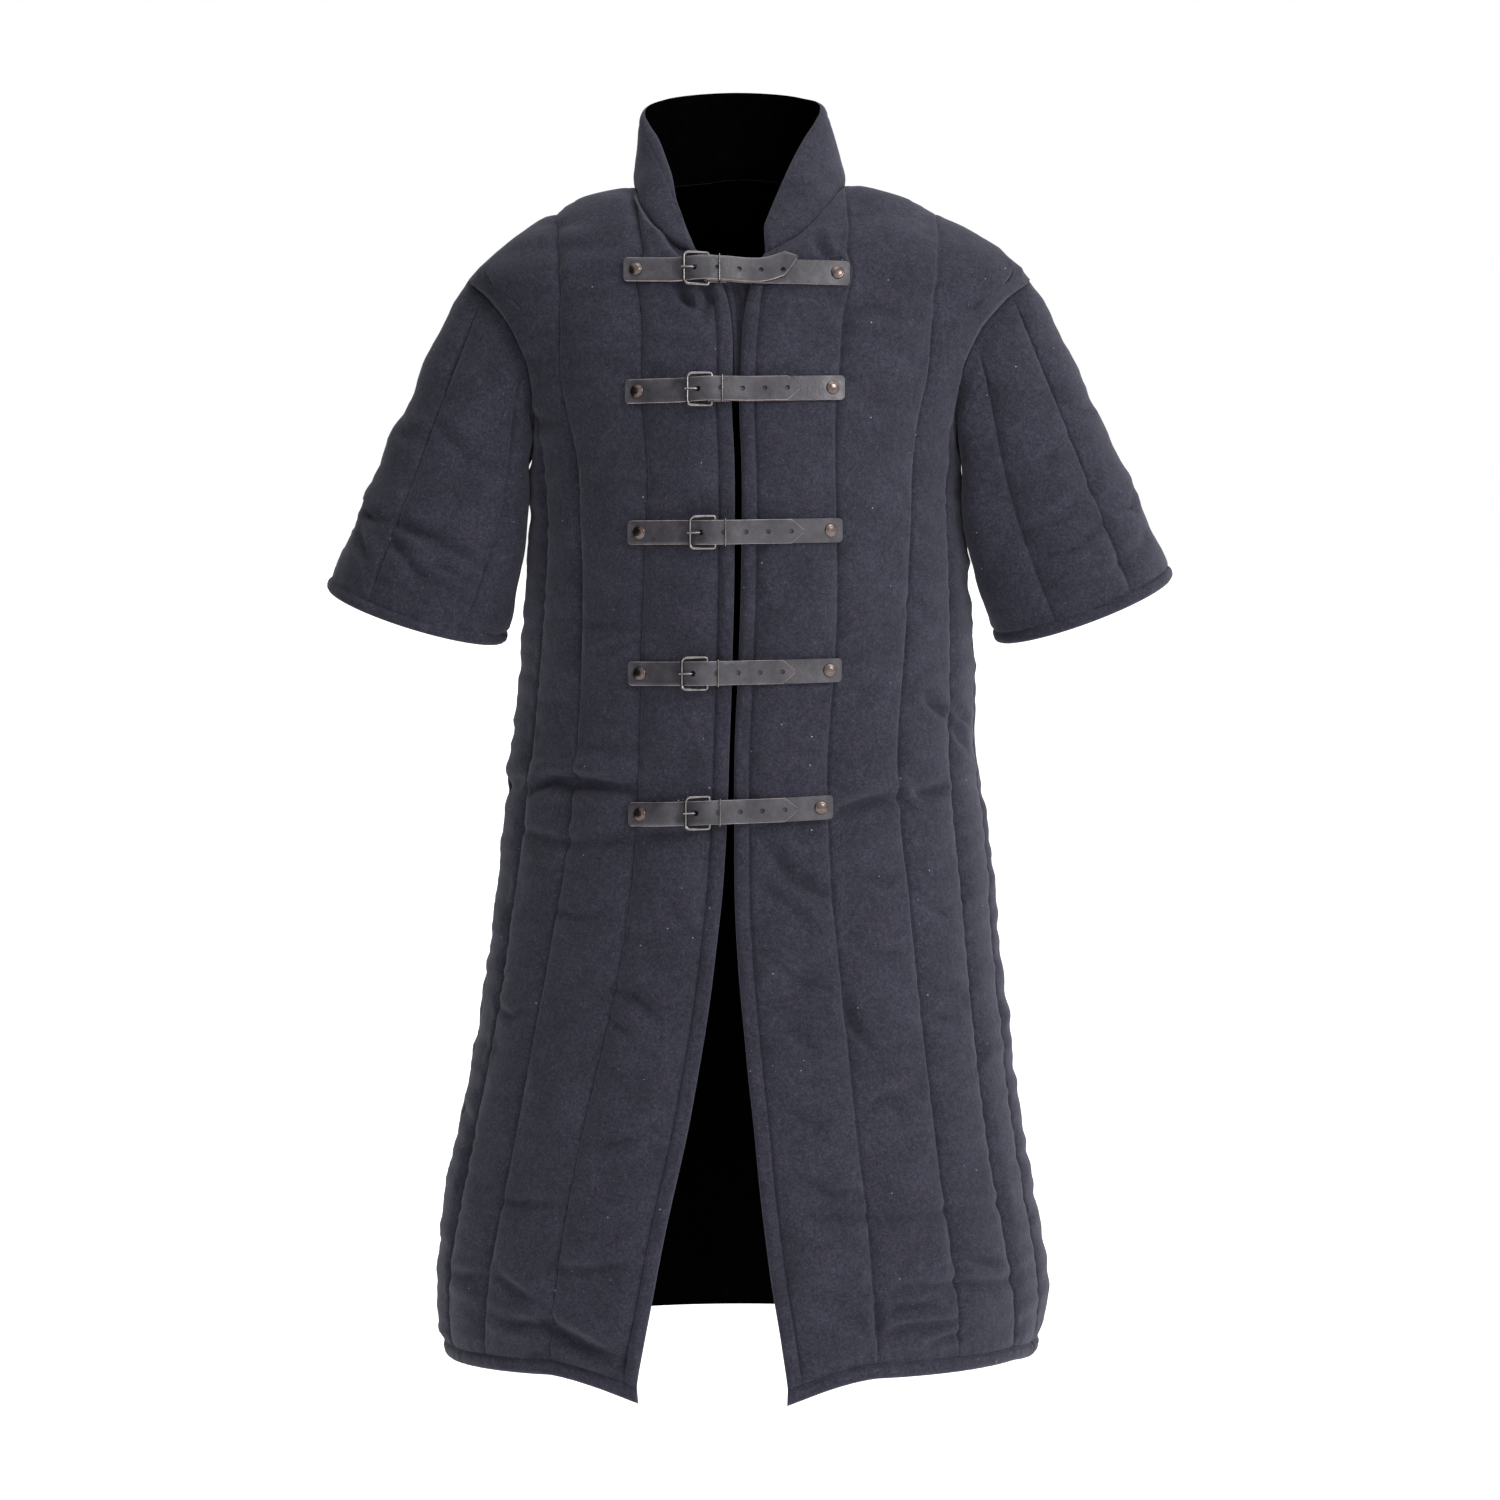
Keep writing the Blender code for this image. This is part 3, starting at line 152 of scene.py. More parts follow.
# Collar: its upper edge from the right front corner, round the back, to the left front corner,
# as share, across, depth and height
COLLAR_EDGE = np.array([
    (0.000, -0.0515, -0.066, -0.0310), (0.050, -0.0575, -0.052, -0.0125),
    (0.092, -0.0605, -0.043, 0.0050), (0.136, -0.0665, -0.033, 0.0220),
    (0.187, -0.0745, -0.019, 0.0405), (0.250, -0.0870, 0.000, 0.0595),
    (0.375, -0.0700, 0.046, 0.0790), (0.500, -0.0100, 0.068, 0.0870),
    (0.625, 0.0495, 0.048, 0.0810), (0.750, 0.0670, 0.000, 0.0635),
    (0.813, 0.0520, -0.021, 0.0400), (0.864, 0.0405, -0.036, 0.0190),
    (0.908, 0.0300, -0.048, -0.0040), (0.950, 0.0225, -0.058, -0.0220),
    (1.000, 0.0165, -0.068, -0.0400),
])

# Straps: the rivets' places, and where the buckle's outer bar and the tongue's tip lie across
Strap = namedtuple("Strap", "right_rivet right_height left_rivet left_height bar tip")
STRAPS = [
    Strap(-0.0900, -0.0770, 0.0780, -0.0800, -0.0490, 0.0440),
    Strap(-0.0880, -0.1790, 0.0730, -0.1760, -0.0460, 0.0460),
    Strap(-0.0860, -0.2960, 0.0710, -0.2940, -0.0430, 0.0490),
    Strap(-0.0860, -0.4140, 0.0710, -0.4110, -0.0500, 0.0420),
    Strap(-0.0860, -0.5320, 0.0640, -0.5260, -0.0480, 0.0440),
]

# Creases pressed into the cloth by wear: the panel, width and depth, then column and height of
# each point that the trough runs through
Crease = namedtuple("Crease", "panel width depth points")
CREASE_DEPTH, SLEEVE_CREASE_DEPTH = 2.6, 2.6
CREASES = [
    Crease("front_left", 0.0045, 0.0016, ((1.15, -0.590), (1.40, -0.606), (1.70, -0.622))),
    Crease("front_left", 0.0040, 0.0014, ((1.10, -0.650), (1.45, -0.668), (1.85, -0.676))),
    Crease("front_left", 0.0042, 0.0015, ((2.10, -0.640), (2.45, -0.652), (2.85, -0.650))),
    Crease("front_left", 0.0042, 0.0014, ((1.20, -0.830), (1.55, -0.846), (1.90, -0.850))),
    Crease("front_left", 0.0040, 0.0014, ((3.10, -0.610), (3.60, -0.622))),
    Crease("front_left", 0.0040, 0.0014, ((2.10, -0.420), (2.60, -0.428))),
    Crease("front_right", 0.0045, 0.0014, ((2.15, -0.610), (2.60, -0.622), (3.00, -0.618))),
    Crease("front_right", 0.0042, 0.0014, ((1.20, -0.790), (1.50, -0.806), (1.90, -0.812))),
    Crease("front_right", 0.0042, 0.0013, ((3.10, -0.700), (3.50, -0.712), (3.95, -0.706))),
    Crease("front_right", 0.0042, 0.0013, ((2.10, -0.390), (2.70, -0.398))),
    Crease("front_right", 0.0042, 0.0036, ((1.22, -0.049), (1.20, -0.060), (1.12, -0.070))),
    Crease("front_right", 0.0038, 0.0022, ((1.06, -0.050), (1.05, -0.063), (1.10, -0.070))),
    Crease("front_right", 0.0040, 0.0034, ((1.10, -0.090), (1.07, -0.103), (1.16, -0.116))),
    Crease("front_left", 0.0040, 0.0026, ((1.62, -0.050), (1.70, -0.062), (1.78, -0.070))),
    Crease("front_left", 0.0038, 0.0020, ((1.86, -0.068), (1.92, -0.078))),
    Crease("front_right", 0.0055, 0.0018, ((1.3, -0.545), (1.9, -0.548))),
    Crease("front_right", 0.0055, 0.0018, ((2.1, -0.556), (3.0, -0.560), (3.9, -0.552))),
    Crease("front_right", 0.0055, 0.0014, ((2.2, -0.480), (2.9, -0.476))),
    Crease("front_right", 0.0050, 0.0016, ((2.1, -0.860), (3.0, -0.866))),
    Crease("front_right", 0.0050, 0.0018, ((3.1, -0.930), (3.9, -0.938))),
    Crease("front_right", 0.0045, 0.0018, ((1.1, -0.905), (1.9, -0.915))),
    Crease("front_right", 0.0060, 0.0050, ((3.8, -0.517), (3.4, -0.508), (2.7, -0.508), (2.1, -0.512))),
    Crease("front_right", 0.0050, 0.0016, ((2.04, -0.679), (1.74, -0.683), (1.35, -0.706))),
    Crease("front_right", 0.0045, 0.0012, ((2.02, -0.702), (1.64, -0.722))),
    Crease("front_right", 0.0040, 0.0010, ((1.55, -0.748), (1.38, -0.750))),
    Crease("front_right", 0.0050, 0.0013, ((1.5, -0.607), (1.13, -0.630))),
    Crease("front_right", 0.0050, 0.0012, ((2.09, -0.635), (1.54, -0.640))),
    Crease("front_right", 0.0070, 0.0036, ((2.06, -0.962), (1.58, -0.974), (1.08, -0.986))),
    Crease("front_right", 0.0050, 0.0020, ((2.77, -0.928), (2.37, -0.939))),
    Crease("front_right", 0.0050, 0.0022, ((2.59, -0.967), (2.04, -0.960))),
    Crease("front_right", 0.0040, 0.0018, ((2.29, -0.992), (2.06, -0.988))),
    Crease("front_right", 0.0060, 0.0012, ((4.2, -0.198), (3.1, -0.206))),
    Crease("front_right", 0.0040, 0.0030, ((1.41, -0.089), (1.39, -0.102), (1.25, -0.111))),
    Crease("front_right", 0.0060, 0.0014, ((4.9, -0.800), (4.1, -0.806))),
    Crease("front_right", 0.0060, 0.0020, ((5.0, -0.520), (4.1, -0.512))),
    Crease("front_left", 0.0055, 0.0040, ((2.1, -0.530), (2.33, -0.525), (2.6, -0.522), (2.96, -0.519))),
    Crease("front_left", 0.0040, 0.0020, ((3.01, -0.521), (3.13, -0.528))),
    Crease("front_left", 0.0055, 0.0030, ((3.23, -0.518), (3.74, -0.516))),
    Crease("front_left", 0.0070, 0.0026, ((1.07, -0.549), (1.31, -0.567), (1.47, -0.583), (1.85, -0.599))),
    Crease("front_left", 0.0060, 0.0018, ((2.01, -0.585), (2.23, -0.582), (2.53, -0.588), (2.85, -0.599))),
    Crease("front_left", 0.0060, 0.0015, ((1.27, -0.710), (1.64, -0.731))),
    Crease("front_left", 0.0060, 0.0015, ((1.1, -0.769), (1.39, -0.785), (1.59, -0.794))),
    Crease("front_left", 0.0045, 0.0018, ((2.03, -0.683), (2.05, -0.708), (2.2, -0.728))),
    Crease("front_left", 0.0050, 0.0018, ((2.07, -0.781), (2.33, -0.770), (2.56, -0.783))),
    Crease("front_left", 0.0045, 0.0015, (
        (1.01, -0.863), (1.59, -0.866), (2.23, -0.871), (2.96, -0.870), (4.1, -0.872))),
    Crease("front_left", 0.0050, 0.0018, ((3.04, -0.905), (3.64, -0.921))),
    Crease("front_left", 0.0045, 0.0018, ((2.28, -0.928), (3.12, -0.931), (4.1, -0.939))),
    Crease("front_left", 0.0040, 0.0018, ((2.17, -0.945), (2.64, -0.946))),
    Crease("front_left", 0.0045, 0.0022, ((2.0, -0.945), (2.03, -0.966), (2.31, -0.961), (2.95, -0.963))),
    Crease("front_left", 0.0040, 0.0018, ((2.54, -0.977), (3.08, -0.974))),
    Crease("front_left", 0.0050, 0.0016, ((1.57, -0.949), (1.93, -0.962))),
    Crease("front_left", 0.0045, 0.0015, ((3.05, -0.680), (3.5, -0.684))),
    Crease("front_left", 0.0045, 0.0015, ((3.05, -0.705), (3.5, -0.710))),
    Crease("front_left", 0.0045, 0.0014, ((3.03, -0.774), (3.39, -0.774))),
    Crease("front_left", 0.0050, 0.0020, ((3.37, -0.436), (3.92, -0.457))),
    Crease("front_left", 0.0050, 0.0020, ((4.04, -0.450), (4.41, -0.459))),
    Crease("front_left", 0.0050, 0.0018, ((4.03, -0.464), (4.38, -0.480))),
    Crease("front_left", 0.0050, 0.0014, ((2.99, -0.356), (3.37, -0.365))),
    Crease("back_right", 0.0065, 0.0040, ((0.2, -0.505), (1.1, -0.498), (2.4, -0.506), (3.4, -0.515))),
    Crease("back_right", 0.0060, 0.0018, ((1.1, -0.545), (2.0, -0.560))),
    Crease("back_right", 0.0060, 0.0016, ((2.2, -0.470), (3.1, -0.462))),
    Crease("back_right", 0.0050, 0.0015, ((3.2, -0.700), (4.1, -0.712))),
    Crease("back_right", 0.0055, 0.0018, ((1.0, -0.880), (2.1, -0.872), (3.3, -0.884))),
    Crease("back_right", 0.0045, 0.0018, ((2.1, -0.950), (3.0, -0.962))),
    Crease("back_right", 0.0060, 0.0016, ((0.6, -0.120), (2.2, -0.108))),
    Crease("back_left", 0.0065, 0.0040, ((0.1, -0.510), (1.4, -0.518), (2.6, -0.509), (4.1, -0.520))),
    Crease("back_left", 0.0055, 0.0020, ((1.3, -0.560), (2.3, -0.548))),
    Crease("back_left", 0.0055, 0.0015, ((2.1, -0.655), (3.0, -0.668))),
    Crease("back_left", 0.0055, 0.0014, ((1.0, -0.760), (1.9, -0.772))),
    Crease("back_left", 0.0050, 0.0018, ((2.0, -0.902), (3.1, -0.894), (4.1, -0.905))),
    Crease("back_left", 0.0045, 0.0020, ((1.2, -0.966), (2.0, -0.955))),
    Crease("back_left", 0.0060, 0.0015, ((1.2, -0.230), (2.4, -0.222))),
]
# The same on the sleeves: ring place from 0 at the shoulder, and share of the way to the cuff
SLEEVE_CREASES = [
    Crease("sleeve_right", 0.0040, 0.0024, ((5.0, 0.72), (7.0, 0.71), (9.9, 0.74))),
    Crease("sleeve_right", 0.0036, 0.0020, ((5.4, 0.77), (8.2, 0.79), (9.8, 0.81))),
    Crease("sleeve_right", 0.0036, 0.0020, ((0.6, 0.72), (2.6, 0.75), (4.8, 0.73))),
    Crease("sleeve_right", 0.0050, 0.0016, ((1.0, 0.45), (3.0, 0.48), (4.7, 0.46))),
    Crease("sleeve_right", 0.0045, 0.0016, ((5.3, 0.40), (7.5, 0.44), (9.6, 0.42))),
    Crease("sleeve_left", 0.0038, 0.0022, ((4.8, 0.74), (7.0, 0.77), (8.8, 0.75))),
    Crease("sleeve_left", 0.0036, 0.0020, ((0.8, 0.70), (2.6, 0.74), (4.6, 0.71))),
    Crease("sleeve_left", 0.0045, 0.0018, ((1.2, 0.40), (3.0, 0.42), (4.6, 0.39))),
    Crease("sleeve_left", 0.0045, 0.0016, ((5.2, 0.46), (7.0, 0.49), (8.8, 0.47))),
    Crease("sleeve_right", 0.0050, 0.0022, ((5.2, 0.78), (7.0, 0.83), (9.5, 0.86))),
    Crease("sleeve_right", 0.0045, 0.0018, ((4.4, 0.70), (7.2, 0.74), (8.9, 0.73))),
    Crease("sleeve_right", 0.0050, 0.0020, ((2.6, 0.80), (4.2, 0.86))),
    Crease("sleeve_right", 0.0050, 0.0018, ((17.0, 0.70), (20.5, 0.76), (23.0, 0.72))),
    Crease("sleeve_right", 0.0060, 0.0016, ((18.5, 0.42), (22.0, 0.47))),
    Crease("sleeve_left", 0.0055, 0.0018, ((4.6, 0.62), (7.3, 0.68), (9.8, 0.66))),
    Crease("sleeve_left", 0.0050, 0.0016, ((2.4, 0.84), (5.6, 0.88))),
    Crease("sleeve_left", 0.0050, 0.0018, ((17.5, 0.66), (20.0, 0.72), (23.5, 0.70))),
]


def smooth_between(at, places, values):
    """A smooth curve through values at places: cubic pieces whose slopes are those of the
    neighbouring points."""
    order = np.argsort(places)
    places, values = np.asarray(places, float)[order], np.asarray(values, float)[order]
    slopes = np.gradient(values, places)
    at = np.asarray(at, float)
    low = np.clip(np.searchsorted(places, at) - 1, 0, len(places) - 2)
    step = places[low + 1] - places[low]
    t = np.clip((at - places[low]) / step, 0, 1)
    return (
        (2 * t**3 - 3 * t**2 + 1) * values[low]
        + (t**3 - 2 * t**2 + t) * step * slopes[low]
        + (3 * t**2 - 2 * t**3) * values[low + 1]
        + (t**3 - t**2) * step * slopes[low + 1]
    )


def even_curve(at, places, values):
    """A smooth curve through rows of values that never overshoots them: cubic pieces whose
    slope at a point is the harmonic mean of those on its two sides, or 0 where they differ in
    sign."""
    steps = np.diff(places)[:, None]
    rates = np.diff(values, axis=0) / steps
    before, after = rates[:-1], rates[1:]
    same = before * after > 0
    weight_a, weight_b = 2 * steps[1:] + steps[:-1], steps[1:] + 2 * steps[:-1]
    safe_before, safe_after = np.where(same, before, 1), np.where(same, after, 1)
    middle = (weight_a + weight_b) / (weight_a / safe_before + weight_b / safe_after)
    slopes = np.concatenate([rates[:1], np.where(same, middle, 0), rates[-1:]])
    low = np.clip(np.searchsorted(places, at, side="right") - 1, 0, len(places) - 2)
    step = steps[low]
    t = (np.asarray(at) - places[low])[:, None] / step
    return (
        (2 * t**3 - 3 * t**2 + 1) * values[low]
        + (t**3 - 2 * t**2 + t) * step * slopes[low]
        + (3 * t**2 - 2 * t**3) * values[low + 1]
        + (t**3 - t**2) * step * slopes[low + 1]
    )


def ease(t):
    """Rises smoothly from 0 to 1: 3t² - 2t³."""
    t = np.clip(t, 0, 1)
    return t * t * (3 - 2 * t)


def section(which, height):
    """One column of SECTIONS, read smoothly at the heights given."""
    return smooth_between(height, SECTIONS[:, 0], SECTIONS[:, which])


def body_point(angle, height):
    """A point of the coat: half an ellipse in front and half behind at each height, angle in
    degrees from the centre front, positive towards +X."""
    turn = np.radians(angle)
    widest = section(WIDEST, height)
    ahead, behind = section(FRONT, height) + widest, section(BACK, height) - widest
    reach = np.where(np.cos(turn) > 0, ahead, behind)
    across = section(MIDDLE, height) + section(HALF_WIDTH, height) * np.sin(turn)
    return np.stack([across, widest - reach * np.cos(turn), height], -1)


def body_normal(angle, height):
    """The way out of the coat: square to its directions round it and up it, from points a
    little to each side."""
    turn, rise = 0.02, 0.0004
    round_it = body_point(angle + turn, height) - body_point(angle - turn, height)
    up_it = body_point(angle, height + rise) - body_point(angle, height - rise)
    normal = np.cross(round_it, up_it)
    return normal / np.maximum(np.linalg.norm(normal, axis=-1, keepdims=True), 1e-12)


def shoulder_height(across):
    """The height at which the shoulder's outline is this far from the coat's middle."""
    heights = np.linspace(BACK_NECK, SHOULDER_POINT, 400)
    return np.interp(across, section(HALF_WIDTH, heights), heights)


class Panel:
    """A front or half the back: columns 0 to 5 run from its middle to its side seam, whole
    numbers being rows of stitching. Rows 0 to 24 run down from its upper edge to the hem."""

    def __init__(self, side, back, border):
        self.side, self.back, self.border = side, back, border
        self.table = RIGHT_LINES if side < 0 else LEFT_LINES
        self.hem = RIGHT_HEM if side < 0 else LEFT_HEM
        self.edge_columns = np.linspace(2, 5, 1201)
        self.edge_heights = self.tops(self.edge_columns)[0]
        tops = self.tops(COLUMNS)[0]
        share = np.interp(COLUMNS, (0, 1, 2), (0, CORNER_SHARE, 1))
        rise = (self.hem[1] - self.hem[0]) * (1 - (1 - share) ** CORNER_POWER)
        hems = np.where(COLUMNS < 2, self.hem[0] + rise, np.interp(COLUMNS, (2, 3, 4, 5), self.hem[1:]))
        if back:
            hems = BACK_HEM + (self.hem[-1] - BACK_HEM) * (COLUMNS / 5) ** 2
        upper = np.array(UPPER_ROWS)[:, None]
        self.heights = np.concatenate([
            tops - (tops - CHEST_ROW) * upper ** (1 + np.minimum((tops - CHEST_ROW) / SHORT, 1)),
            np.repeat(np.array(LOWER_ROWS)[:, None], len(COLUMNS), 1),
            (hems + border)[None], (hems + border / 2)[None], hems[None],
        ])
        column = np.broadcast_to(COLUMNS, self.heights.shape)
        self.turns = self.angles(column, self.heights)
        self.last_row = len(self.heights) - 1

    def tops(self, column):
        """The height of the top of each column and how far across it lies, unsigned."""
        first, out = (1, 1) if self.side < 0 else (3, -1)
        across = out * smooth_between(column, NECKLINE[:, 0], NECKLINE[:, first])
        neck = smooth_between(column, NECKLINE[:, 0], NECKLINE[:, first + 1])
        neck_height = NECKLINE[-1, first + 1]
        neck_point = section(HALF_WIDTH, neck_height)
        if self.back:
            neck = BACK_NECK + (neck_height - BACK_NECK) * (column / 2) ** 2
            across = np.interp(column, (0, 1, 2), (0, BACK_CENTRE_ROW, neck_point))
        corner = ARMHOLE[0, 0]
        reach = section(HALF_WIDTH, SHOULDER_POINT)
        seam = np.interp(column, (2, 3, corner), (neck_point, SECOND_TOP, reach))
        hole = smooth_between(column, ARMHOLE[:, 0], ARMHOLE[:, 1])
        height = np.where(column < 2, neck, np.where(column < corner, shoulder_height(seam), hole))
        return height, np.where(column < 2, across, seam)

    def below_armpit(self, column, height):
        """The unsigned angle of each column at and below the armpit, from the panel's middle."""
        height = np.minimum(height, ARMPIT)
        if self.back:
            side = 180 - np.abs(smooth_between(height, self.table[:, 0], self.table[:, 5]))
            return np.interp(column, np.arange(6), BACK_SHARES) * side
        lines = [
            self.side * smooth_between(height, self.table[:, 0], self.table[:, k]) for k in range(1, 6)
        ]
        lines.insert(1, lines[0] + np.degrees(self.border / section(HALF_WIDTH, height)))
        low = np.minimum(column.astype(int), 4)
        start, end = np.choose(low, lines[:5]), np.choose(low, lines[1:])
        return start + (end - start) * (column - low)

    @staticmethod
    def edge_angle(column):
        """The angle at which a column meets the shoulder seam or the armhole."""
        hole = smooth_between(column, ARMHOLE[:, 0], ARMHOLE[:, 2])
        return np.where(column > ARMHOLE[0, 0], hole, 90.0)

    def led(self, column, height):
        """The angle of a column up to the second row: above the armpit it is led across, by
        distance, to its place at the top."""
        angle = self.below_armpit(column, height)
        top, across = self.tops(column)
        rise = np.clip((height - ARMPIT) / np.maximum(top - ARMPIT, 1e-6), 0, 1)
        lead = rise ** np.interp(column, (1, 2, 3), (1.0 if self.back else FRONT_LEAD, 1.0, 0.6))
        start = section(HALF_WIDTH, ARMPIT) * np.sin(np.radians(angle))
        sine = (start + (across - start) * lead) / section(HALF_WIDTH, height)
        return np.where(height > ARMPIT, np.degrees(np.arcsin(np.clip(sine, -1, 1))), angle)

    def angles(self, column, height):
        """The angle of each point, from the coat's centre front. Above the armpit, points
        outside the last row of stitching are shared out as far as the edge."""
        edge = np.interp(-height, -self.edge_heights, self.edge_columns)
        last = np.where(edge < 3, 2.0, 3.0)
        share, first, whole = [self.below_armpit(c, height * 0 + ARMPIT) for c in (column, last, edge)]
        part = np.clip((share - first) / np.maximum(whole - first, 1e-6), 0, 1)
        inner = self.led(last, height)
        outer = inner + (self.edge_angle(edge) - inner) * part
        beside = (height > ARMPIT) & (column > last)
        below = self.below_armpit(column, height)
        angle = np.where(beside, outer, np.where(column > 3, below, self.led(column, height)))
        at_edge = (height > ARMPIT) & (column > edge - EDGE_REACH)
        angle = np.where(at_edge, self.edge_angle(column), angle)
        return self.side * (180 - angle if self.back else angle)

    def place(self, rows, columns):
        """Angle and height on a fine grid of rows and columns, drawn evenly through the
        layout's own."""
        spots = np.arange(self.last_row + 1.0)
        out = []
        for table in (self.turns, self.heights):
            down = even_curve(rows, spots, table)
            out.append(even_curve(columns, COLUMNS, down.T).T)
        return out

    def spot(self, points):
        """Points in space for pairs of column and height, halfway down the layout's rows."""
        column, height = np.array(points, float).T
        edge = self.angles(column, height)
        return body_point(edge, height)


def gather(parts, pull):
    """Places from 0 to 1 that lie closer together near both ends, by a sine wave."""
    t = np.linspace(0, 1, parts + 1)
    return t - pull * np.sin(2 * np.pi * t) / (2 * np.pi)


def fine_columns(border_parts, channel_parts):
    """Column numbers from 0 to 5, drawn together beside each row of stitching."""
    runs = [gather(border_parts, 0.3)] + [k + gather(channel_parts, 0.72) for k in range(1, 5)]
    return np.concatenate([runs[0]] + [run[1:] for run in runs[1:]])


def fine_rows(upper, lower, hem):
    """Row numbers from 0 to 24: evenly down the coat above the chest, below it and in the hem."""
    top = len(UPPER_ROWS) - 1
    depth = (np.array(UPPER_ROWS) ** 2).tolist()
    first = np.interp(gather(upper, 0.25), depth, np.arange(top + 1))
    heights = np.concatenate([[CHEST_ROW], LOWER_ROWS, [-1.000]])
    second = np.interp(np.linspace(0, 1, lower + 1), (CHEST_ROW - heights) / (CHEST_ROW + 1.0),
                       top + np.arange(len(heights)))
    last = top + len(LOWER_ROWS) + 1
    third = last + 2 * gather(hem, 0.3)
    return np.concatenate([first, second[1:], third[1:]])


def waves(points, length, seed, number=22):
    """Uneven soft swells in space: a sum of cosines in seeded directions, with wavelengths round
    the length given, divided so that it runs from about -1 to 1."""
    rng = np.random.default_rng(seed)
    ways = rng.normal(size=(number, 3))
    ways /= np.linalg.norm(ways, axis=1, keepdims=True)
    pitch = length * rng.uniform(0.65, 1.6, number)
    phase = rng.uniform(0, 2 * np.pi, number)
    total = np.zeros(points.shape[:-1])
    for way, size, start in zip(ways, pitch, phase):
        total += np.cos(points @ (way * 2 * np.pi / size) + start)
    return total / math.sqrt(number)


def ripples(along, length, seed, number=9):
    """Uneven ripples along a line: a sum of cosines with wavelengths round the length given."""
    rng = np.random.default_rng(seed)
    total = np.zeros(np.shape(along))
    for size, start in zip(length * rng.uniform(0.6, 1.7, number), rng.uniform(0, 6.28, number)):
        total += np.cos(2 * np.pi * along / size + start)
    return total / math.sqrt(number)


def run_lengths(grid, axis):
    """How far each point of a grid lies along its row or column, in metres, from the first."""
    step = np.linalg.norm(np.diff(grid, axis=axis), axis=-1)
    start = np.zeros_like(np.take(step, [0], axis=axis))
    return np.concatenate([start, np.cumsum(step, axis=axis)], axis=axis)


def crowned(share, power, blunt=0.7):
    """A crowned profile over a channel or an edge: 0 at both sides and 1 in the middle."""
    return np.clip(1 - np.abs(2 * share - 1) ** power, 0, 1) ** blunt


def rounding(distance, radius, depth):
    """How far a rounded edge falls away: a quarter circle of the radius, scaled to the depth."""
    t = np.clip(1 - distance / radius, 0, 1)
    return depth * (1 - np.sqrt(np.maximum(1 - t * t, 0)))


def trough(points, line, width, depth):
    """A crease: a soft trough along a line of points in space, with a low ridge above it. Its
    depth falls with the square of the distance from the line, and towards the line's ends."""
    nearest = np.full(points.shape[:-1], 9.0)
    place = np.zeros(points.shape[:-1])
    above = np.zeros(points.shape[:-1])
    lengths = np.linalg.norm(np.diff(line, axis=0), axis=1)
    total, done = lengths.sum(), 0.0
    for start, end, length in zip(line[:-1], line[1:], lengths):
        way = (end - start) / length
        along = np.clip((points - start) @ way, 0, length)
        gap = points - start - along[..., None] * way
        distance = np.linalg.norm(gap, axis=-1)
        closer = distance < nearest
        nearest = np.where(closer, distance, nearest)
        place = np.where(closer, (done + along) / total, place)
        above = np.where(closer, gap[..., 2], above)
        done += length
    strength = np.sin(np.pi * np.clip(0.08 + 0.84 * place, 0, 1)) ** 0.6
    ridge = np.exp(-(((nearest - 2.1 * width) / (1.3 * width)) ** 2)) * np.where(above > 0, 0.40, 0.16)
    return depth * strength * (ridge - np.exp(-((nearest / width) ** 2)))


def quilt(distance, share, along, seed, loft):
    """The quilting's relief: wadding swells quickly beside a row of stitching and then gently to
    the channel's middle; the thread draws the row in, and small puckers fan out from it."""
    swell = 0.42 * (1 - np.exp(-distance / 0.0045)) + 0.58 * crowned(share, 2.6, 0.9)
    pucker = ripples(along, 0.013, seed) * np.exp(-distance / 0.010) * (1 - np.exp(-distance / 0.003))
    dimple = np.exp(-((distance / 0.0013) ** 2))
    return loft * swell + 0.00085 * pucker - 0.0010 * dimple


@functools.lru_cache(maxsize=None)
def panels(border):
    """The four quarters of the coat's body."""
    return {
        "front_right": Panel(-1, False, border), "front_left": Panel(1, False, border),
        "back_right": Panel(-1, True, border), "back_left": Panel(1, True, border),
    }


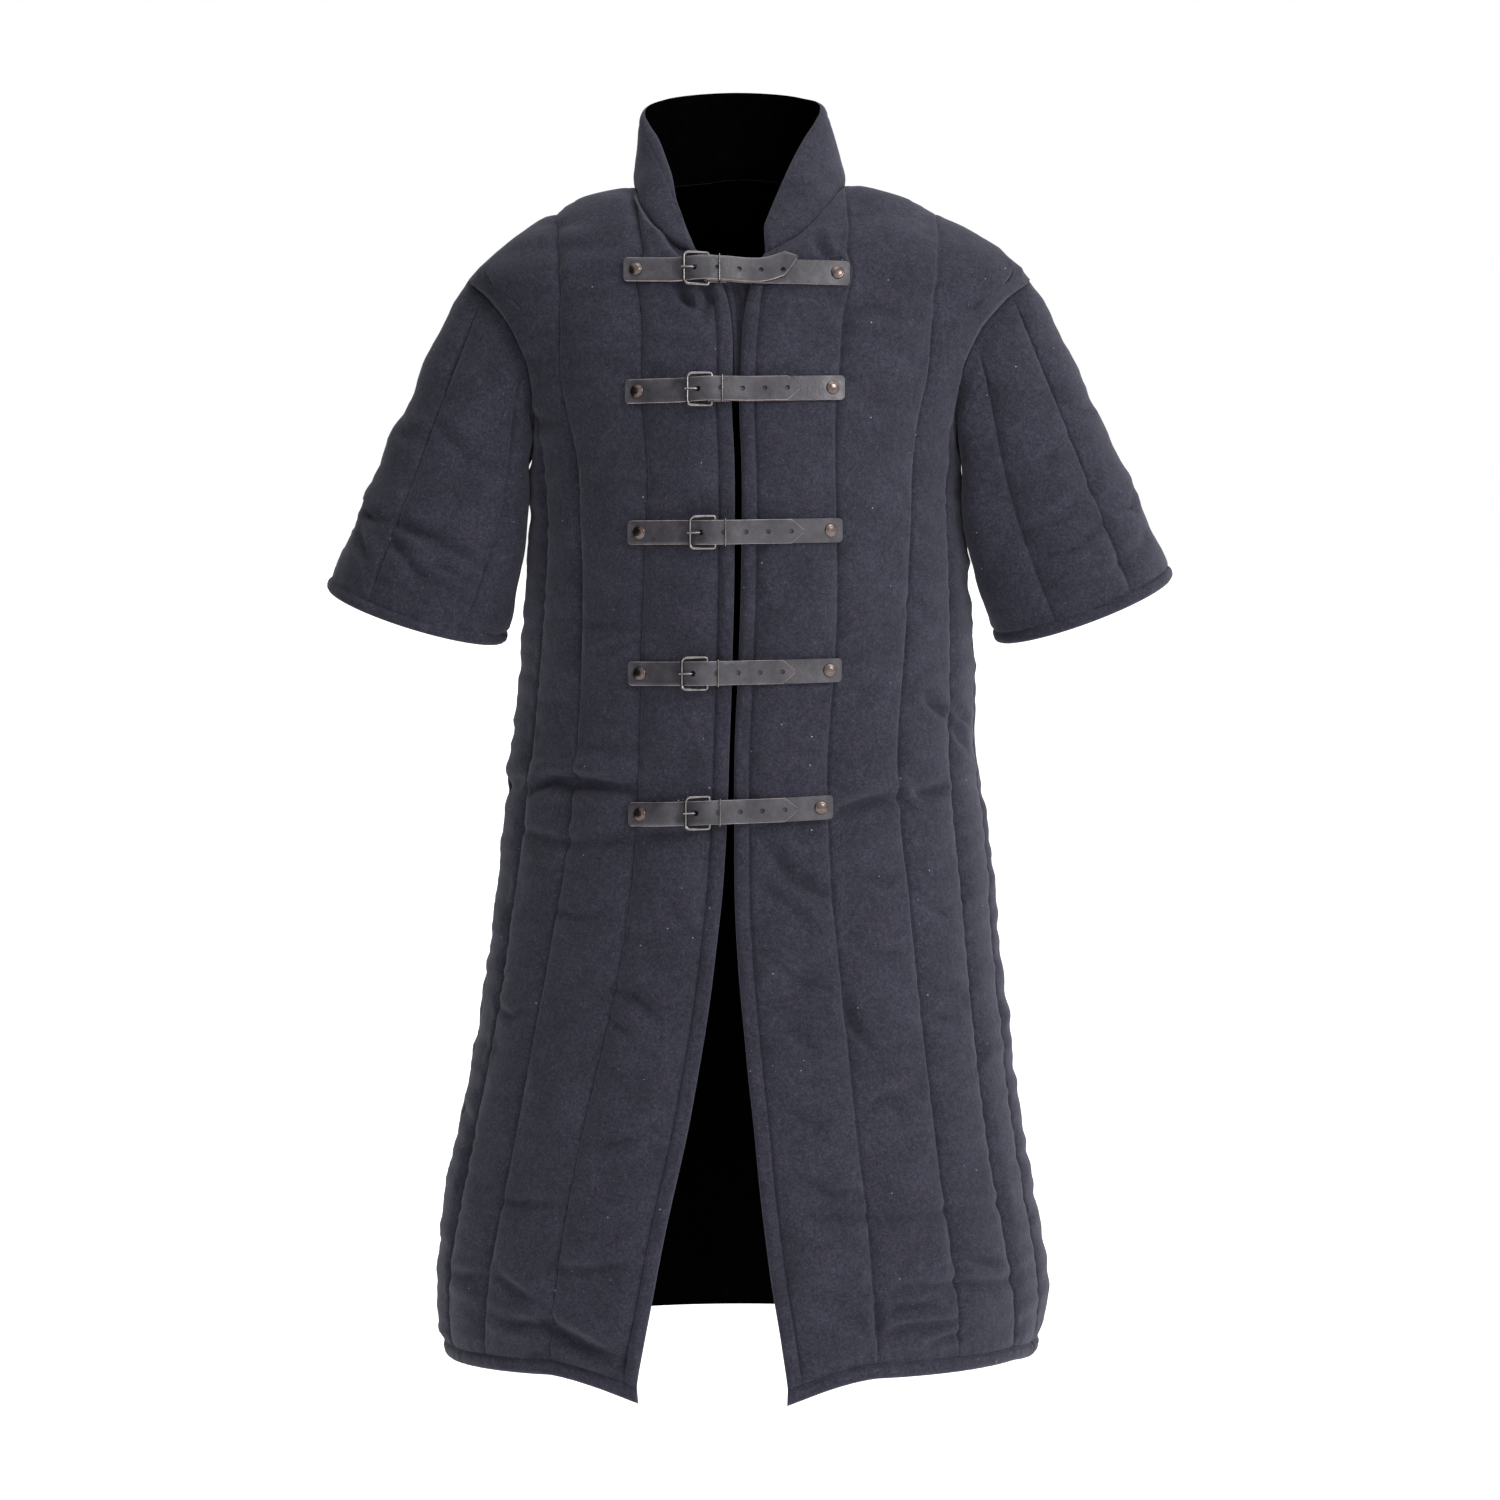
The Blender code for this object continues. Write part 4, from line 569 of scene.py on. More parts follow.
def panel_cloth(name, rows, columns, sizes):
    """One quarter of the body: its middle surface, normals, and how far its outside and inside
    lie from that surface, with the cloth's own two coordinates."""
    panel = panels(sizes.border)[name]
    turn, height = panel.place(rows, columns)
    grid = body_point(turn, height)
    normal = turned_to_seams(grid, body_normal(turn, height))
    across, down = run_lengths(grid, 1), run_lengths(grid, 0)
    whole = [int(np.argmin(np.abs(columns - k))) for k in range(6)]
    marks = across[:, whole]
    number = np.broadcast_to(np.clip(columns.astype(int), 0, 4), grid.shape[:2])
    low = np.take_along_axis(marks, number, 1)
    high = np.take_along_axis(marks, number + 1, 1)
    share = (across - low) / np.maximum(high - low, 1e-9)
    distance = np.minimum(across - low, high - across)
    nearer = number + (share > 0.5)
    if panel.back:
        centre = (number == 0)
        share = np.where(centre, (1 + share) / 2, share)
        distance = np.where(centre, high - across, distance)
        nearer = np.where(centre, 1, nearer)
    below = down
    above_hem = down[-1] - down
    lift = np.zeros(grid.shape[:2])
    for row in range(6):
        for half in (0, 1):
            mask = (nearer == row) & ((share > 0.5) == bool(half))
            if mask.any():
                seed = 100 + row * 2 + half + 20 * list(panels(sizes.border)).index(name)
                lift[mask] = quilt(distance[mask], share[mask], height[mask], seed, sizes.loft)
    if not panel.back:
        roll = sizes.roll * crowned(share, ROLL_POWER)
        roll = roll + 0.0004 * ripples(height, 0.016, 7) * (1 - np.abs(2 * share - 1))
        lift = np.where(number == 0, roll - 0.0006 * np.exp(-((distance / 0.0012) ** 2)) * (share > 0.5),
                        lift)
    fade = np.interp(columns, (0, 2, 3), (0.016, 0.028, 0.036))
    lift = lift * ease(below / fade)
    slant = grid * (0.55, 0.55, 1.9)
    swell = waves(slant, 0.110, 3) * 0.0015 + waves(slant, 0.045, 4) * 0.0010
    lift = lift + swell * ease(below / 0.02) * ease(distance / 0.012)
    for crease in CREASES:
        if crease.panel == name:
            line = panel.spot(crease.points)
            lift = lift + trough(grid, line, crease.width, crease.depth * CREASE_DEPTH)
    hem_row = above_hem - sizes.border
    hem_roll = sizes.roll * crowned(above_hem / sizes.border, ROLL_POWER)
    hem_roll = hem_roll + 0.00022 * ripples(across, 0.022, 11) * ease(above_hem / 0.004)
    join = 0.25 + 0.75 * ease(hem_row / 0.016)
    pull = -0.0014 * np.exp(-((hem_row / 0.0014) ** 2))
    pucker = 0.00045 * ripples(across, 0.014, 12) * np.exp(-np.abs(hem_row) / 0.008) * ease(
        np.abs(hem_row) / 0.004)
    lift = np.where(hem_row > 0, lift * join, 0.0006 + hem_roll) + pull + pucker
    outside = lift
    inside = np.full(lift.shape, -sizes.wall)
    seam, soft = 0.0035, sizes.wall / 2 - 0.0002
    side = across[:, -1:] - across
    outside = outside - rounding(below, seam, 0.0018) - rounding(side, seam, 0.0014)
    outside = np.minimum(outside, outside - rounding(above_hem, 0.004, soft))
    inside = inside + rounding(above_hem, 0.003, soft)
    if not panel.back:
        outside = outside - rounding(across, 0.0042, soft)
        inside = inside + rounding(across, 0.003, soft)
    outside = np.maximum(outside, inside + 0.0006)
    return grid, normal, outside, inside, np.stack([across * np.sign(panel.side), -down], -1)


def trimmed(grid, wraps, gap):
    """Draws a grid's border in by half a seam's gap, square to the border's own line."""
    out = grid.copy()
    pairs = [((0, slice(None)), (1, slice(None))), ((-1, slice(None)), (-2, slice(None)))]
    if not wraps:
        pairs += [((slice(None), 0), (slice(None), 1)), ((slice(None), -1), (slice(None), -2))]
    for border, inside in pairs:
        line = grid[border]
        along = np.roll(line, -1, 0) - np.roll(line, 1, 0) if wraps else np.gradient(line, axis=0)
        along = along / np.maximum(np.linalg.norm(along, axis=-1, keepdims=True), 1e-9)
        way = grid[inside] - line
        way = way - along * (way * along).sum(-1, keepdims=True)
        length = np.maximum(np.linalg.norm(way, axis=-1, keepdims=True), 1e-9)
        out[border] = out[border] + way / length * gap * 0.65
    return out


def wall_quads(rows, columns, wraps):
    """The quads of a closed wall between an outer grid and an inner one that follows it, and
    which of them face inwards."""
    number = np.arange(rows * columns).reshape(rows, columns)
    if wraps:
        number = np.concatenate([number, number[:, :1]], 1)
    a, b = number[:-1, :-1], number[:-1, 1:]
    c, d = number[1:, 1:], number[1:, :-1]
    inner = rows * columns
    outside = np.stack([a, d, c, b], -1).reshape(-1, 4)
    inside = np.stack([a, b, c, d], -1).reshape(-1, 4) + inner
    top, low = number[0], number[-1]
    rims = [
        np.stack([top[:-1], top[1:], top[1:] + inner, top[:-1] + inner], -1),
        np.stack([low[1:], low[:-1], low[:-1] + inner, low[1:] + inner], -1),
    ]
    if not wraps:
        first, last = number[:, 0], number[:, -1]
        rims += [
            np.stack([first[1:], first[:-1], first[:-1] + inner, first[1:] + inner], -1),
            np.stack([last[:-1], last[1:], last[1:] + inner, last[:-1] + inner], -1),
        ]
    rims = np.concatenate(rims)
    quads = np.concatenate([outside, rims, inside])
    faces_in = np.arange(len(quads)) >= len(outside) + len(rims)
    return quads, faces_in


def placed(name, mesh):
    """A mesh as an object at the origin, linked to the scene."""
    piece = bpy.data.objects.new(name, mesh)
    bpy.context.scene.collection.objects.link(piece)
    return piece


def add_mesh(name, points, faces, materials, indices=None, uv=None):
    """Puts points and faces, all with the same number of corners, into a smooth shaded mesh
    under the name given."""
    mesh = bpy.data.meshes.new(name)
    corners = faces.shape[1]
    mesh.vertices.add(len(points))
    mesh.vertices.foreach_set("co", np.asarray(points, np.float32).ravel())
    mesh.loops.add(faces.size)
    mesh.loops.foreach_set("vertex_index", np.asarray(faces, np.int32).ravel())
    mesh.polygons.add(len(faces))
    mesh.polygons.foreach_set("loop_start", np.arange(0, faces.size, corners, dtype=np.int32))
    for material in materials:
        mesh.materials.append(material)
    if indices is not None:
        mesh.polygons.foreach_set("material_index", np.asarray(indices, np.int32))
    if uv is not None:
        layer = mesh.uv_layers.new(name="cloth")
        layer.data.foreach_set("uv", np.asarray(uv, np.float32)[faces.ravel()].ravel())
    mesh.update(calc_edges=True)
    mesh.validate()
    mesh.shade_smooth()
    return placed(name, mesh)


def wall_parts(cloth, wraps, gap, flip):
    """A padded cloth wall's points, quads, which quads face inwards, cloth coordinates and outer
    grid: the middle surface moved out along its normals for the outside and in for the inside,
    its four edges closed."""
    grid, normal, outside, inside, uv = [part[:, ::-1] for part in cloth] if flip else cloth
    outer = trimmed(grid + normal * outside[..., None], wraps, gap)
    inner = trimmed(grid + normal * inside[..., None], wraps, gap)
    quads, faces_in = wall_quads(*grid.shape[:2], wraps)
    points = np.concatenate([outer.reshape(-1, 3), inner.reshape(-1, 3)])
    both = np.concatenate([uv.reshape(-1, 2), uv.reshape(-1, 2)])
    return points, quads, faces_in, both, outer


def add_wall(name, cloths, wraps, gap, flip, materials):
    """One mesh of one or more padded walls; the first is the piece itself."""
    walls = [wall_parts(cloth, wraps, gap, flip) for cloth in cloths]
    starts = np.cumsum([0] + [len(wall[0]) for wall in walls])
    quads = np.concatenate([wall[1] + start for wall, start in zip(walls, starts)])
    points, faces_in, both = [np.concatenate([wall[k] for wall in walls]) for k in (0, 2, 3)]
    return add_mesh(name, points, quads, materials, faces_in, both), walls[0][4]


def cut_size(grid):
    """A cloth piece's flat size: its longest run across, its longest run down and its area."""
    width = run_lengths(grid, 1)[:, -1].max()
    length = run_lengths(grid, 0)[-1].max()
    a, b = grid[1:, :-1] - grid[:-1, 1:], grid[1:, 1:] - grid[:-1, :-1]
    area = np.linalg.norm(np.cross(a, b), axis=-1).sum() / 2
    return float(width), float(length), float(area)


def declare(piece, node, grid):
    """Parents a cloth piece to the root body and hides the imported node that it replaces. Its cut size is
    worked out but not kept.
    """
    width, length, area = cut_size(grid)
    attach(piece, "root")
    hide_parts(node)
    area = min(area, width * length)


def ring_places(u, side, sizes):
    """Points of the armhole's edge and the body's normals there: u runs from 0 at the shoulder
    point, down the front to 14 at the armpit, and up the back to 28."""
    words = ("front_right", "back_right") if side < 0 else ("front_left", "back_left")
    corners = np.concatenate([[0], np.cumsum(ARMHOLE_PARTS)])
    spots = np.interp(np.minimum(u, 28 - u), corners, COLUMNS[COLUMNS >= ARMHOLE[0, 0]])
    out, ways = np.zeros((len(u), 3)), np.zeros((len(u), 3))
    for word, half in zip(words, (u <= 14, u > 14)):
        panel = panels(sizes.border)[word]
        order = np.argsort(spots[half])
        turn, height = panel.place(np.zeros(1), spots[half][order])
        mine = np.flatnonzero(half)[order]
        out[mine], ways[mine] = body_point(turn[0], height[0]), body_normal(turn[0], height[0])
    return out, ways


def underlap(sizes):
    """A narrow fold of the left front that shows behind the opening under the first strap: it
    runs from behind the left edge to behind the right one, with soft upright folds."""
    body = panels(sizes.border)
    height = np.linspace(-0.064, -0.183, 60)[:, None] * np.ones(41)
    level = height[:, 0]
    right = body["front_right"].angles(np.full(60, 0.45), level)
    left = body["front_left"].angles(np.full(60, 0.55), level)
    share = np.linspace(0, 1, 41)[None]
    angle = right[:, None] + (left - right)[:, None] * share
    grid, normal = body_point(angle, height), body_normal(angle, height)
    fold = 0.0022 * np.cos(2 * np.pi * (2.3 * share + 6.0 * height)) * np.sin(np.pi * share) ** 0.7
    outside = -sizes.wall - 0.0032 + np.maximum(fold, -0.0015) - 0.002 * share
    inside = outside - 0.0025
    across, down = run_lengths(grid, 1), run_lengths(grid, 0)
    return grid, normal, outside, inside, np.stack([across, -down], -1)


def unit(ways):
    """Directions brought to length 1."""
    return ways / np.maximum(np.linalg.norm(ways, axis=-1, keepdims=True), 1e-12)


def sleeve_layout(side, sizes):
    """A sleeve's middle surface and normals: curves that leave each point of the armhole and
    reach the cuff's ring, cubic between the two, and lean in against the body."""
    rows = np.array(SLEEVE_STITCHES[side], float)
    u = (rows[:-1, None] + np.diff(rows)[:, None] * gather(28, 0.72)[None, :-1]).ravel()
    ring, body = ring_places(u, side, sizes)
    turn = np.radians(u * 360 / 28)
    shift = turn + math.radians(CUFF_TWIST)
    outward, forward = np.array(CUFF_OUTWARD[side]), np.array(CUFF_FORWARD)
    cuff = (
        np.array(CUFF_MIDDLE[side])
        + np.cos(shift)[:, None] * outward
        + np.sin(shift)[:, None] * forward
    )
    low = ((1 - np.cos(turn)) / 2) ** 2
    leave = (cuff - ring) + np.stack([side * UNDERARM_SWING * low, 0 * low, UNDERARM_RISE * low], -1)
    arrive = cuff - ring
    t = gather(*SLEEVE_ROWS)[:, None, None]
    grid = (
        (2 * t**3 - 3 * t**2 + 1) * ring
        + (t**3 - 2 * t**2 + t) * leave
        + (3 * t**2 - 2 * t**3) * cuff
        + (t**3 - t**2) * arrive
    )
    lean = LEAN_SHARE[side] * np.interp(u, SLEEVE_LEAN[:, 0], SLEEVE_LEAN[:, 1])
    lean = np.mean([np.roll(lean, k) for k in range(-3, 4)], axis=0)
    grid[..., 0] -= side * lean * np.sin(np.pi * t[..., 0]) ** 1.5
    down_way = np.gradient(grid, axis=0)
    round_way = np.roll(grid, -1, 1) - np.roll(grid, 1, 1)
    return grid, unit(np.cross(down_way, round_way)) * -side, u, body


def collar_layout(sizes):
    """The collar's middle surface and normals: straight lines from the neckline's points up to
    its upper edge. The body's own normals at the neckline come with it."""
    body = panels(sizes.border)
    quarters, ways = [], []
    fine = np.linspace(0, 2, 61)
    for name, turned in (("front_right", 1), ("back_right", -1), ("back_left", 1), ("front_left", -1)):
        turn, height = body[name].place(np.zeros(1), fine)
        quarters.append(body_point(turn[0], height[0])[::turned])
        ways.append(body_normal(turn[0], height[0])[::turned])
    base, way = [np.concatenate([part[0]] + [p[1:] for p in part[1:]]) for part in (quarters, ways)]
    shares = []
    for number, quarter in enumerate(quarters):
        run = np.append(0, np.cumsum(np.linalg.norm(np.diff(quarter, axis=0), axis=1)))
        shares.append((number + run / run[-1]) / 4)
    share = np.concatenate([shares[0]] + [part[1:] for part in shares[1:]])
    top = np.stack(
        [smooth_between(share, COLLAR_EDGE[:, 0], COLLAR_EDGE[:, k]) for k in (1, 2, 3)], -1)
    t = gather(34, 0.45)[:, None, None]
    grid = (base + (top - base) * t)[::-1, ::-1]
    normal = unit(np.cross(np.gradient(grid, axis=0), np.gradient(grid, axis=1)))
    return grid, normal, way[::-1]


@functools.lru_cache(maxsize=None)
def seam_turns():
    """Points along the armholes and the neckline, and the direction halfway between those of
    the two pieces that meet there."""
    sizes = bpy.context.scene.gambeson_cloth
    found = []
    for side in (-1, 1):
        grid, normal, _, body = sleeve_layout(side, sizes)
        found.append((grid[0], unit(normal[0] + body)))
    grid, normal, body = collar_layout(sizes)
    found.append((grid[-1], unit(normal[-1] + body)))
    return found


def turned_to_seams(grid, normal):
    """Normals turned, within 12 mm of a seam, towards the seam's own direction: a mean of those
    at its points, weighted by a bell curve of the distance. Pieces that meet there then agree."""
    out = normal.copy()
    for points, ways in seam_turns():
        low, high = points.min(0) - 0.012, points.max(0) + 0.012
        near = np.all((grid > low) & (grid < high), axis=-1)
        gap = np.linalg.norm(grid[near][:, None] - points[None], axis=-1)
        least = gap.min(1)
        share = np.exp(-((gap / 0.003) ** 2) + ((least / 0.003) ** 2)[:, None])
        mean = unit(share @ ways)
        weight = (1 - ease(least / 0.012))[:, None]
        out[near] = unit(out[near] * (1 - weight) + mean * weight)
    return out


def sleeve_cloth(side, sizes):
    """A sleeve quilted lengthwise in six channels, with a turned cuff."""
    grid, normal, u, _ = sleeve_layout(side, sizes)
    normal = turned_to_seams(grid, normal)
    rows = np.array(SLEEVE_STITCHES[side], float)
    round_way = np.roll(grid, -1, 1) - np.roll(grid, 1, 1)
    down = run_lengths(grid, 0)
    rest = down[-1] - down
    channel = np.interp(u, rows, np.arange(len(rows)))
    share = (channel % 1)[None] * np.ones(grid.shape[:2])
    girth = np.linalg.norm(round_way, axis=-1).sum(1, keepdims=True) / 2
    distance = np.minimum(share, 1 - share) * girth * (np.diff(rows)[channel.astype(int)] / 28)[None]
    row = np.round(channel).astype(int) % (len(rows) - 1)
    lift = np.zeros(grid.shape[:2])
    for k in np.unique(row):
        for half in (0, 1):
            mask = (row == k)[None] & ((share > 0.5) == bool(half))
            lift[mask] = quilt(distance[mask], share[mask], down[mask], 300 + 2 * k + half + 40 * side,
                               sizes.loft)
    lift = lift * ease(down / 0.024)
    swell = waves(grid * (0.6, 0.6, 1.6), 0.065, 5) * 0.0014
    lift = lift + swell * ease(down / 0.02) * ease(distance / 0.01) * ease(rest / 0.02)
    ways = gather(*SLEEVE_ROWS)
    for crease in SLEEVE_CREASES:
        if crease.panel == ("sleeve_right" if side < 0 else "sleeve_left"):
            line = []
            for place, way in crease.points:
                row_at = int(np.argmin(np.abs(ways - way)))
                line.append(grid[row_at, int(np.argmin(np.abs(u - place)))])
            lift = lift + trough(grid, np.array(line), crease.width, crease.depth * SLEEVE_CREASE_DEPTH)
    stitch = rest - CUFF_TURN
    roll = 0.62 * sizes.roll * crowned(rest / CUFF_TURN, ROLL_POWER)
    lift = np.where(stitch > 0, lift * (0.48 + 0.52 * ease(stitch / 0.020)), 0.0006 + roll)
    lift = lift - 0.0013 * np.exp(-((stitch / 0.0016) ** 2))
    lift = lift + 0.0006 * ripples(u * 0.012, 0.012, 13 + side) * np.exp(-np.abs(stitch) / 0.008) * ease(
        np.abs(stitch) / 0.004)
    soft = sizes.wall / 2 - 0.0002
    outside = lift - rounding(down, 0.0035, 0.0016) - rounding(rest, 0.0052, soft)
    inside = np.full(lift.shape, -sizes.wall) + rounding(rest, 0.003, soft)
    outside = np.maximum(outside, inside + 0.0006)
    uv = np.stack([share * 0 + (u / 28)[None] * girth.mean(), -down], -1)
    return grid, normal, outside, inside, uv


def collar_cloth(sizes):
    """The padded collar, crowned between its seam and its upper edge."""
    grid, normal, _ = collar_layout(sizes)
    normal = turned_to_seams(grid, normal)
    down, across = run_lengths(grid, 0), run_lengths(grid, 1)
    up = down[-1] - down
    ends = np.minimum(across, across[:, -1:] - across)
    crown = crowned(down / down[-1], 3.2)
    lift = sizes.collar_loft * crown * ease(ends / 0.010 + 0.25)
    lift = lift + waves(grid, 0.030, 8) * 0.0007 * crown
    edge_row = down - 0.011
    lift = lift - 0.0009 * np.exp(-((edge_row / 0.0013) ** 2)) * ease(ends / 0.006)
    lift = lift + 0.0005 * ripples(across, 0.011, 15) * np.exp(-np.abs(edge_row) / 0.006)
    soft = sizes.wall / 2 - 0.0002
    outside = lift - rounding(up, 0.004, 0.0022) - rounding(down, 0.0045, soft)
    outside = outside - rounding(ends, 0.0045, soft)
    inside = np.full(lift.shape, -sizes.wall) + rounding(down, 0.0035, soft) + rounding(ends, 0.003, soft)
    outside = np.maximum(outside, inside + 0.0006)
    return grid, normal, outside, inside, np.stack([across, -down], -1)


class Nodes:
    """A material under construction: adds nodes and joins their sockets."""

    def __init__(self, name):
        self.material = bpy.data.materials.new(name)
        self.material.use_nodes = True
        self.tree = self.material.node_tree
        self.shader = self.tree.nodes["Principled BSDF"]
        self.place = self.add("ShaderNodeTexCoord").outputs["Object"]

    def add(self, kind, **settings):
        node = self.tree.nodes.new(kind)
        for name, value in settings.items():
            setattr(node, name, value)
        return node

    def join(self, start, end):
        self.tree.links.new(start, end)

    def noise(self, scale, detail=2.0, rough=0.55, place=None):
        node = self.add("ShaderNodeTexNoise")
        node.inputs["Scale"].default_value = scale
        node.inputs["Detail"].default_value = detail
        node.inputs["Roughness"].default_value = rough
        self.join(self.place if place is None else place, node.inputs["Vector"])
        return node.outputs["Fac"]

    def cells(self, scale, output="Distance", spread=1.0):
        node = self.add("ShaderNodeTexVoronoi")
        node.inputs["Scale"].default_value = scale
        node.inputs["Randomness"].default_value = spread
        self.join(self.place, node.inputs["Vector"])
        return node.outputs[output]

    def ramp(self, value, stops):
        node = self.add("ShaderNodeValToRGB")
        while len(node.color_ramp.elements) < len(stops):
            node.color_ramp.elements.new(0.5)
        for element, (spot, colour) in zip(node.color_ramp.elements, stops):
            element.position = spot
            element.color = (*colour, 1.0) if hasattr(colour, "__len__") else (colour,) * 3 + (1.0,)
        self.join(value, node.inputs["Fac"])
        return node.outputs["Color"]

    def maths(self, operation, a, b):
        node = self.add("ShaderNodeMath", operation=operation)
        for socket, value in zip(node.inputs, (a, b)):
            if isinstance(value, (int, float)):
                socket.default_value = value
            else:
                self.join(value, socket)
        return node.outputs["Value"]

    def mix(self, kind, fac, a, b):
        node = self.add("ShaderNodeMix", data_type="RGBA", blend_type=kind)
        for socket, value in ((node.inputs[0], fac), (node.inputs[6], a), (node.inputs[7], b)):
            if isinstance(value, (int, float)):
                socket.default_value = value
            elif isinstance(value, tuple):
                socket.default_value = (*value, 1.0)
            else:
                self.join(value, socket)
        return node.outputs[2]

    def bump(self, height, strength, distance, under=None):
        node = self.add("ShaderNodeBump")
        node.inputs["Strength"].default_value = strength
        node.inputs["Distance"].default_value = distance
        self.join(height, node.inputs["Height"])
        if under is not None:
            self.join(under, node.inputs["Normal"])
        return node.outputs["Normal"]

    def set(self, name, value):
        socket = self.shader.inputs[name]
        if isinstance(value, (int, float, tuple)):
            socket.default_value = (*value, 1.0) if isinstance(value, tuple) and len(value) == 3 else value
        else:
            self.join(value, socket)


def wool(name, colour, lint):
    """Fulled wool: a melange of darker and paler fibres, cloudy patches, a felted nap over a
    fine twill, and specks of lint where lint is above 0."""
    n = Nodes(name)
    dark, pale = tuple(c * 0.60 for c in colour), tuple(c * 1.45 for c in colour)
    fibres = n.ramp(n.noise(1500, 3.0, 0.7), [(0.32, dark), (0.68, pale)])
    clouds = n.ramp(n.noise(30, 3.0, 0.6), [(0.30, 0.80), (0.70, 1.20)])
    base = n.mix("MULTIPLY", 1.0, fibres, clouds)
    hues = n.ramp(n.noise(210, 3.0, 0.65), [(0.30, (0.74, 0.70, 0.80)), (0.50, (1.0, 0.98, 0.98)),
                                            (0.70, (1.30, 1.20, 1.16))])
    base = n.mix("MULTIPLY", 1.0, base, hues)
    tufts = n.ramp(n.noise(520, 3.0, 0.65), [(0.35, 0.66), (0.68, 1.40)])
    base = n.mix("MULTIPLY", 1.0, base, tufts)
    if lint > 0:
        for scale, size, rare, tint in ((120, 0.070, 0.80, (0.24, 0.28, 0.36)),
                                        (46, 0.024, 0.72, (0.46, 0.46, 0.50)),
                                        (300, 0.11, 0.80, (0.12, 0.13, 0.19))):
            near = n.maths("LESS_THAN", n.cells(scale), size)
            picked = n.maths("GREATER_THAN", n.cells(scale, "Color"), rare)
            base = n.mix("MIX", n.maths("MULTIPLY", near, n.maths("MULTIPLY", picked, lint)), base, tint)
    n.set("Base Color", base)
    n.set("Roughness", 0.92)
    n.set("Sheen Weight", 0.16 if lint > 0 else 0.0)
    n.set("Sheen Roughness", 0.50)
    n.set("Sheen Tint", (0.66, 0.66, 0.80))
    n.set("Specular IOR Level", 0.20 if lint > 0 else 0.0)
    uv = n.add("ShaderNodeUVMap", uv_map="cloth").outputs["UV"]
    twill = n.add("ShaderNodeTexWave", bands_direction="DIAGONAL")
    twill.inputs["Scale"].default_value = 260.0
    twill.inputs["Distortion"].default_value = 1.5
    n.join(uv, twill.inputs["Vector"])
    nap = n.bump(n.noise(900, 4.0, 0.7), 0.5, 0.0007)
    nap = n.bump(twill.outputs["Fac"], 0.12, 0.0003, nap)
    n.set("Normal", n.bump(n.noise(190, 3.0, 0.6), 0.35, 0.0012, nap))
    return n.material


class GambesonCloth(bpy.types.PropertyGroup):
    """Sizes and colours of the quilted cloth."""

    wall: FloatProperty(
        name="Wall", description="Thickness at a row of stitching", default=0.0042, unit="LENGTH")
    loft: FloatProperty(
        name="Loft", description="How far wadding lifts a channel", default=0.0048, unit="LENGTH")
    roll: FloatProperty(
        name="Roll", description="Height of the rolled edges", default=0.0024, unit="LENGTH")
    collar_loft: FloatProperty(
        name="Collar loft", description="How full the collar is", default=0.0035, unit="LENGTH")
    border: FloatProperty(
        name="Border", description="Width of the front edge and the hem", default=0.013, unit="LENGTH")
    seam_gap: FloatProperty(
        name="Seam gap", description="Gap between two pieces at a seam", default=0.0003, unit="LENGTH")
    colour: FloatVectorProperty(
        name="Cloth colour", description="Outside of the coat", subtype="COLOR", size=3,
        default=(0.0218, 0.0222, 0.0335), min=0, max=1)
    # Painted shade: the inside of the coat is coloured near-black to stand for the shade within it, not a
    # lining's own colour.
    inside_shade_colour: FloatVectorProperty(
        name="Inside colour", description="Inside of the coat", subtype="COLOR", size=3,
        default=(0.0008, 0.0008, 0.0010), min=0, max=1)


class GambesonStraps(bpy.types.PropertyGroup):
    """Sizes and colours of the straps, buckles and rivets."""

    width: FloatProperty(
        name="Width", description="Width of a strap", default=0.020, unit="LENGTH")
    leather: FloatProperty(
        name="Leather", description="Thickness of the leather", default=0.0020, unit="LENGTH")
    clear: FloatProperty(
        name="Clearance", description="Gap between metal and leather", default=0.0003, unit="LENGTH")
    lie: FloatProperty(
        name="Lie", description="Gap between a strap and the cloth", default=0.0008, unit="LENGTH")
    wire: FloatProperty(
        name="Wire", description="Radius of a buckle's wire", default=0.0012, unit="LENGTH")
    leather_colour: FloatVectorProperty(
        name="Leather colour", description="Face of the leather", subtype="COLOR", size=3,
        default=(0.036, 0.033, 0.040), min=0, max=1)
    # Cut edges: partly the raw leather's own paler tone, partly a painted reflection of the bright floor,
    # the same on every edge.
    cut_edge_reflection_colour: FloatVectorProperty(
        name="Cut edge colour", description="Raw edge of the leather", subtype="COLOR", size=3,
        default=(0.25, 0.205, 0.20), min=0, max=1)
    metal_colour: FloatVectorProperty(
        name="Metal colour", description="Buckles and keepers", subtype="COLOR", size=3,
        default=(0.24, 0.225, 0.225), min=0, max=1)
    rivet_colour: FloatVectorProperty(
        name="Rivet colour", description="Domed rivet caps", subtype="COLOR", size=3,
        default=(0.15, 0.115, 0.105), min=0, max=1)


class GambesonStage(bpy.types.PropertyGroup):
    """Light, floor and camera."""

    floor_height: FloatProperty(
        name="Floor height", description="Where the floor lies", default=-1.24, unit="LENGTH")
    key: FloatProperty(
        name="Key light", description="Watts of the light at the viewer's right", default=80.0)
    fill: FloatProperty(
        name="Fill light", description="Watts of the light at the viewer's left", default=8.0)
    surround: FloatProperty(
        name="Surround", description="Strength of the white surround", default=1.0)


@functools.lru_cache(maxsize=None)
def wool_materials():
    """The coat's outside, and its inside coloured near-black as painted shade."""
    cloth = bpy.context.scene.gambeson_cloth
    return (
        wool("charcoal_wool", tuple(cloth.colour), 0.8),
        wool("inside_wool_painted_shade", tuple(cloth.inside_shade_colour), 0.0),
    )


OUTER = {}


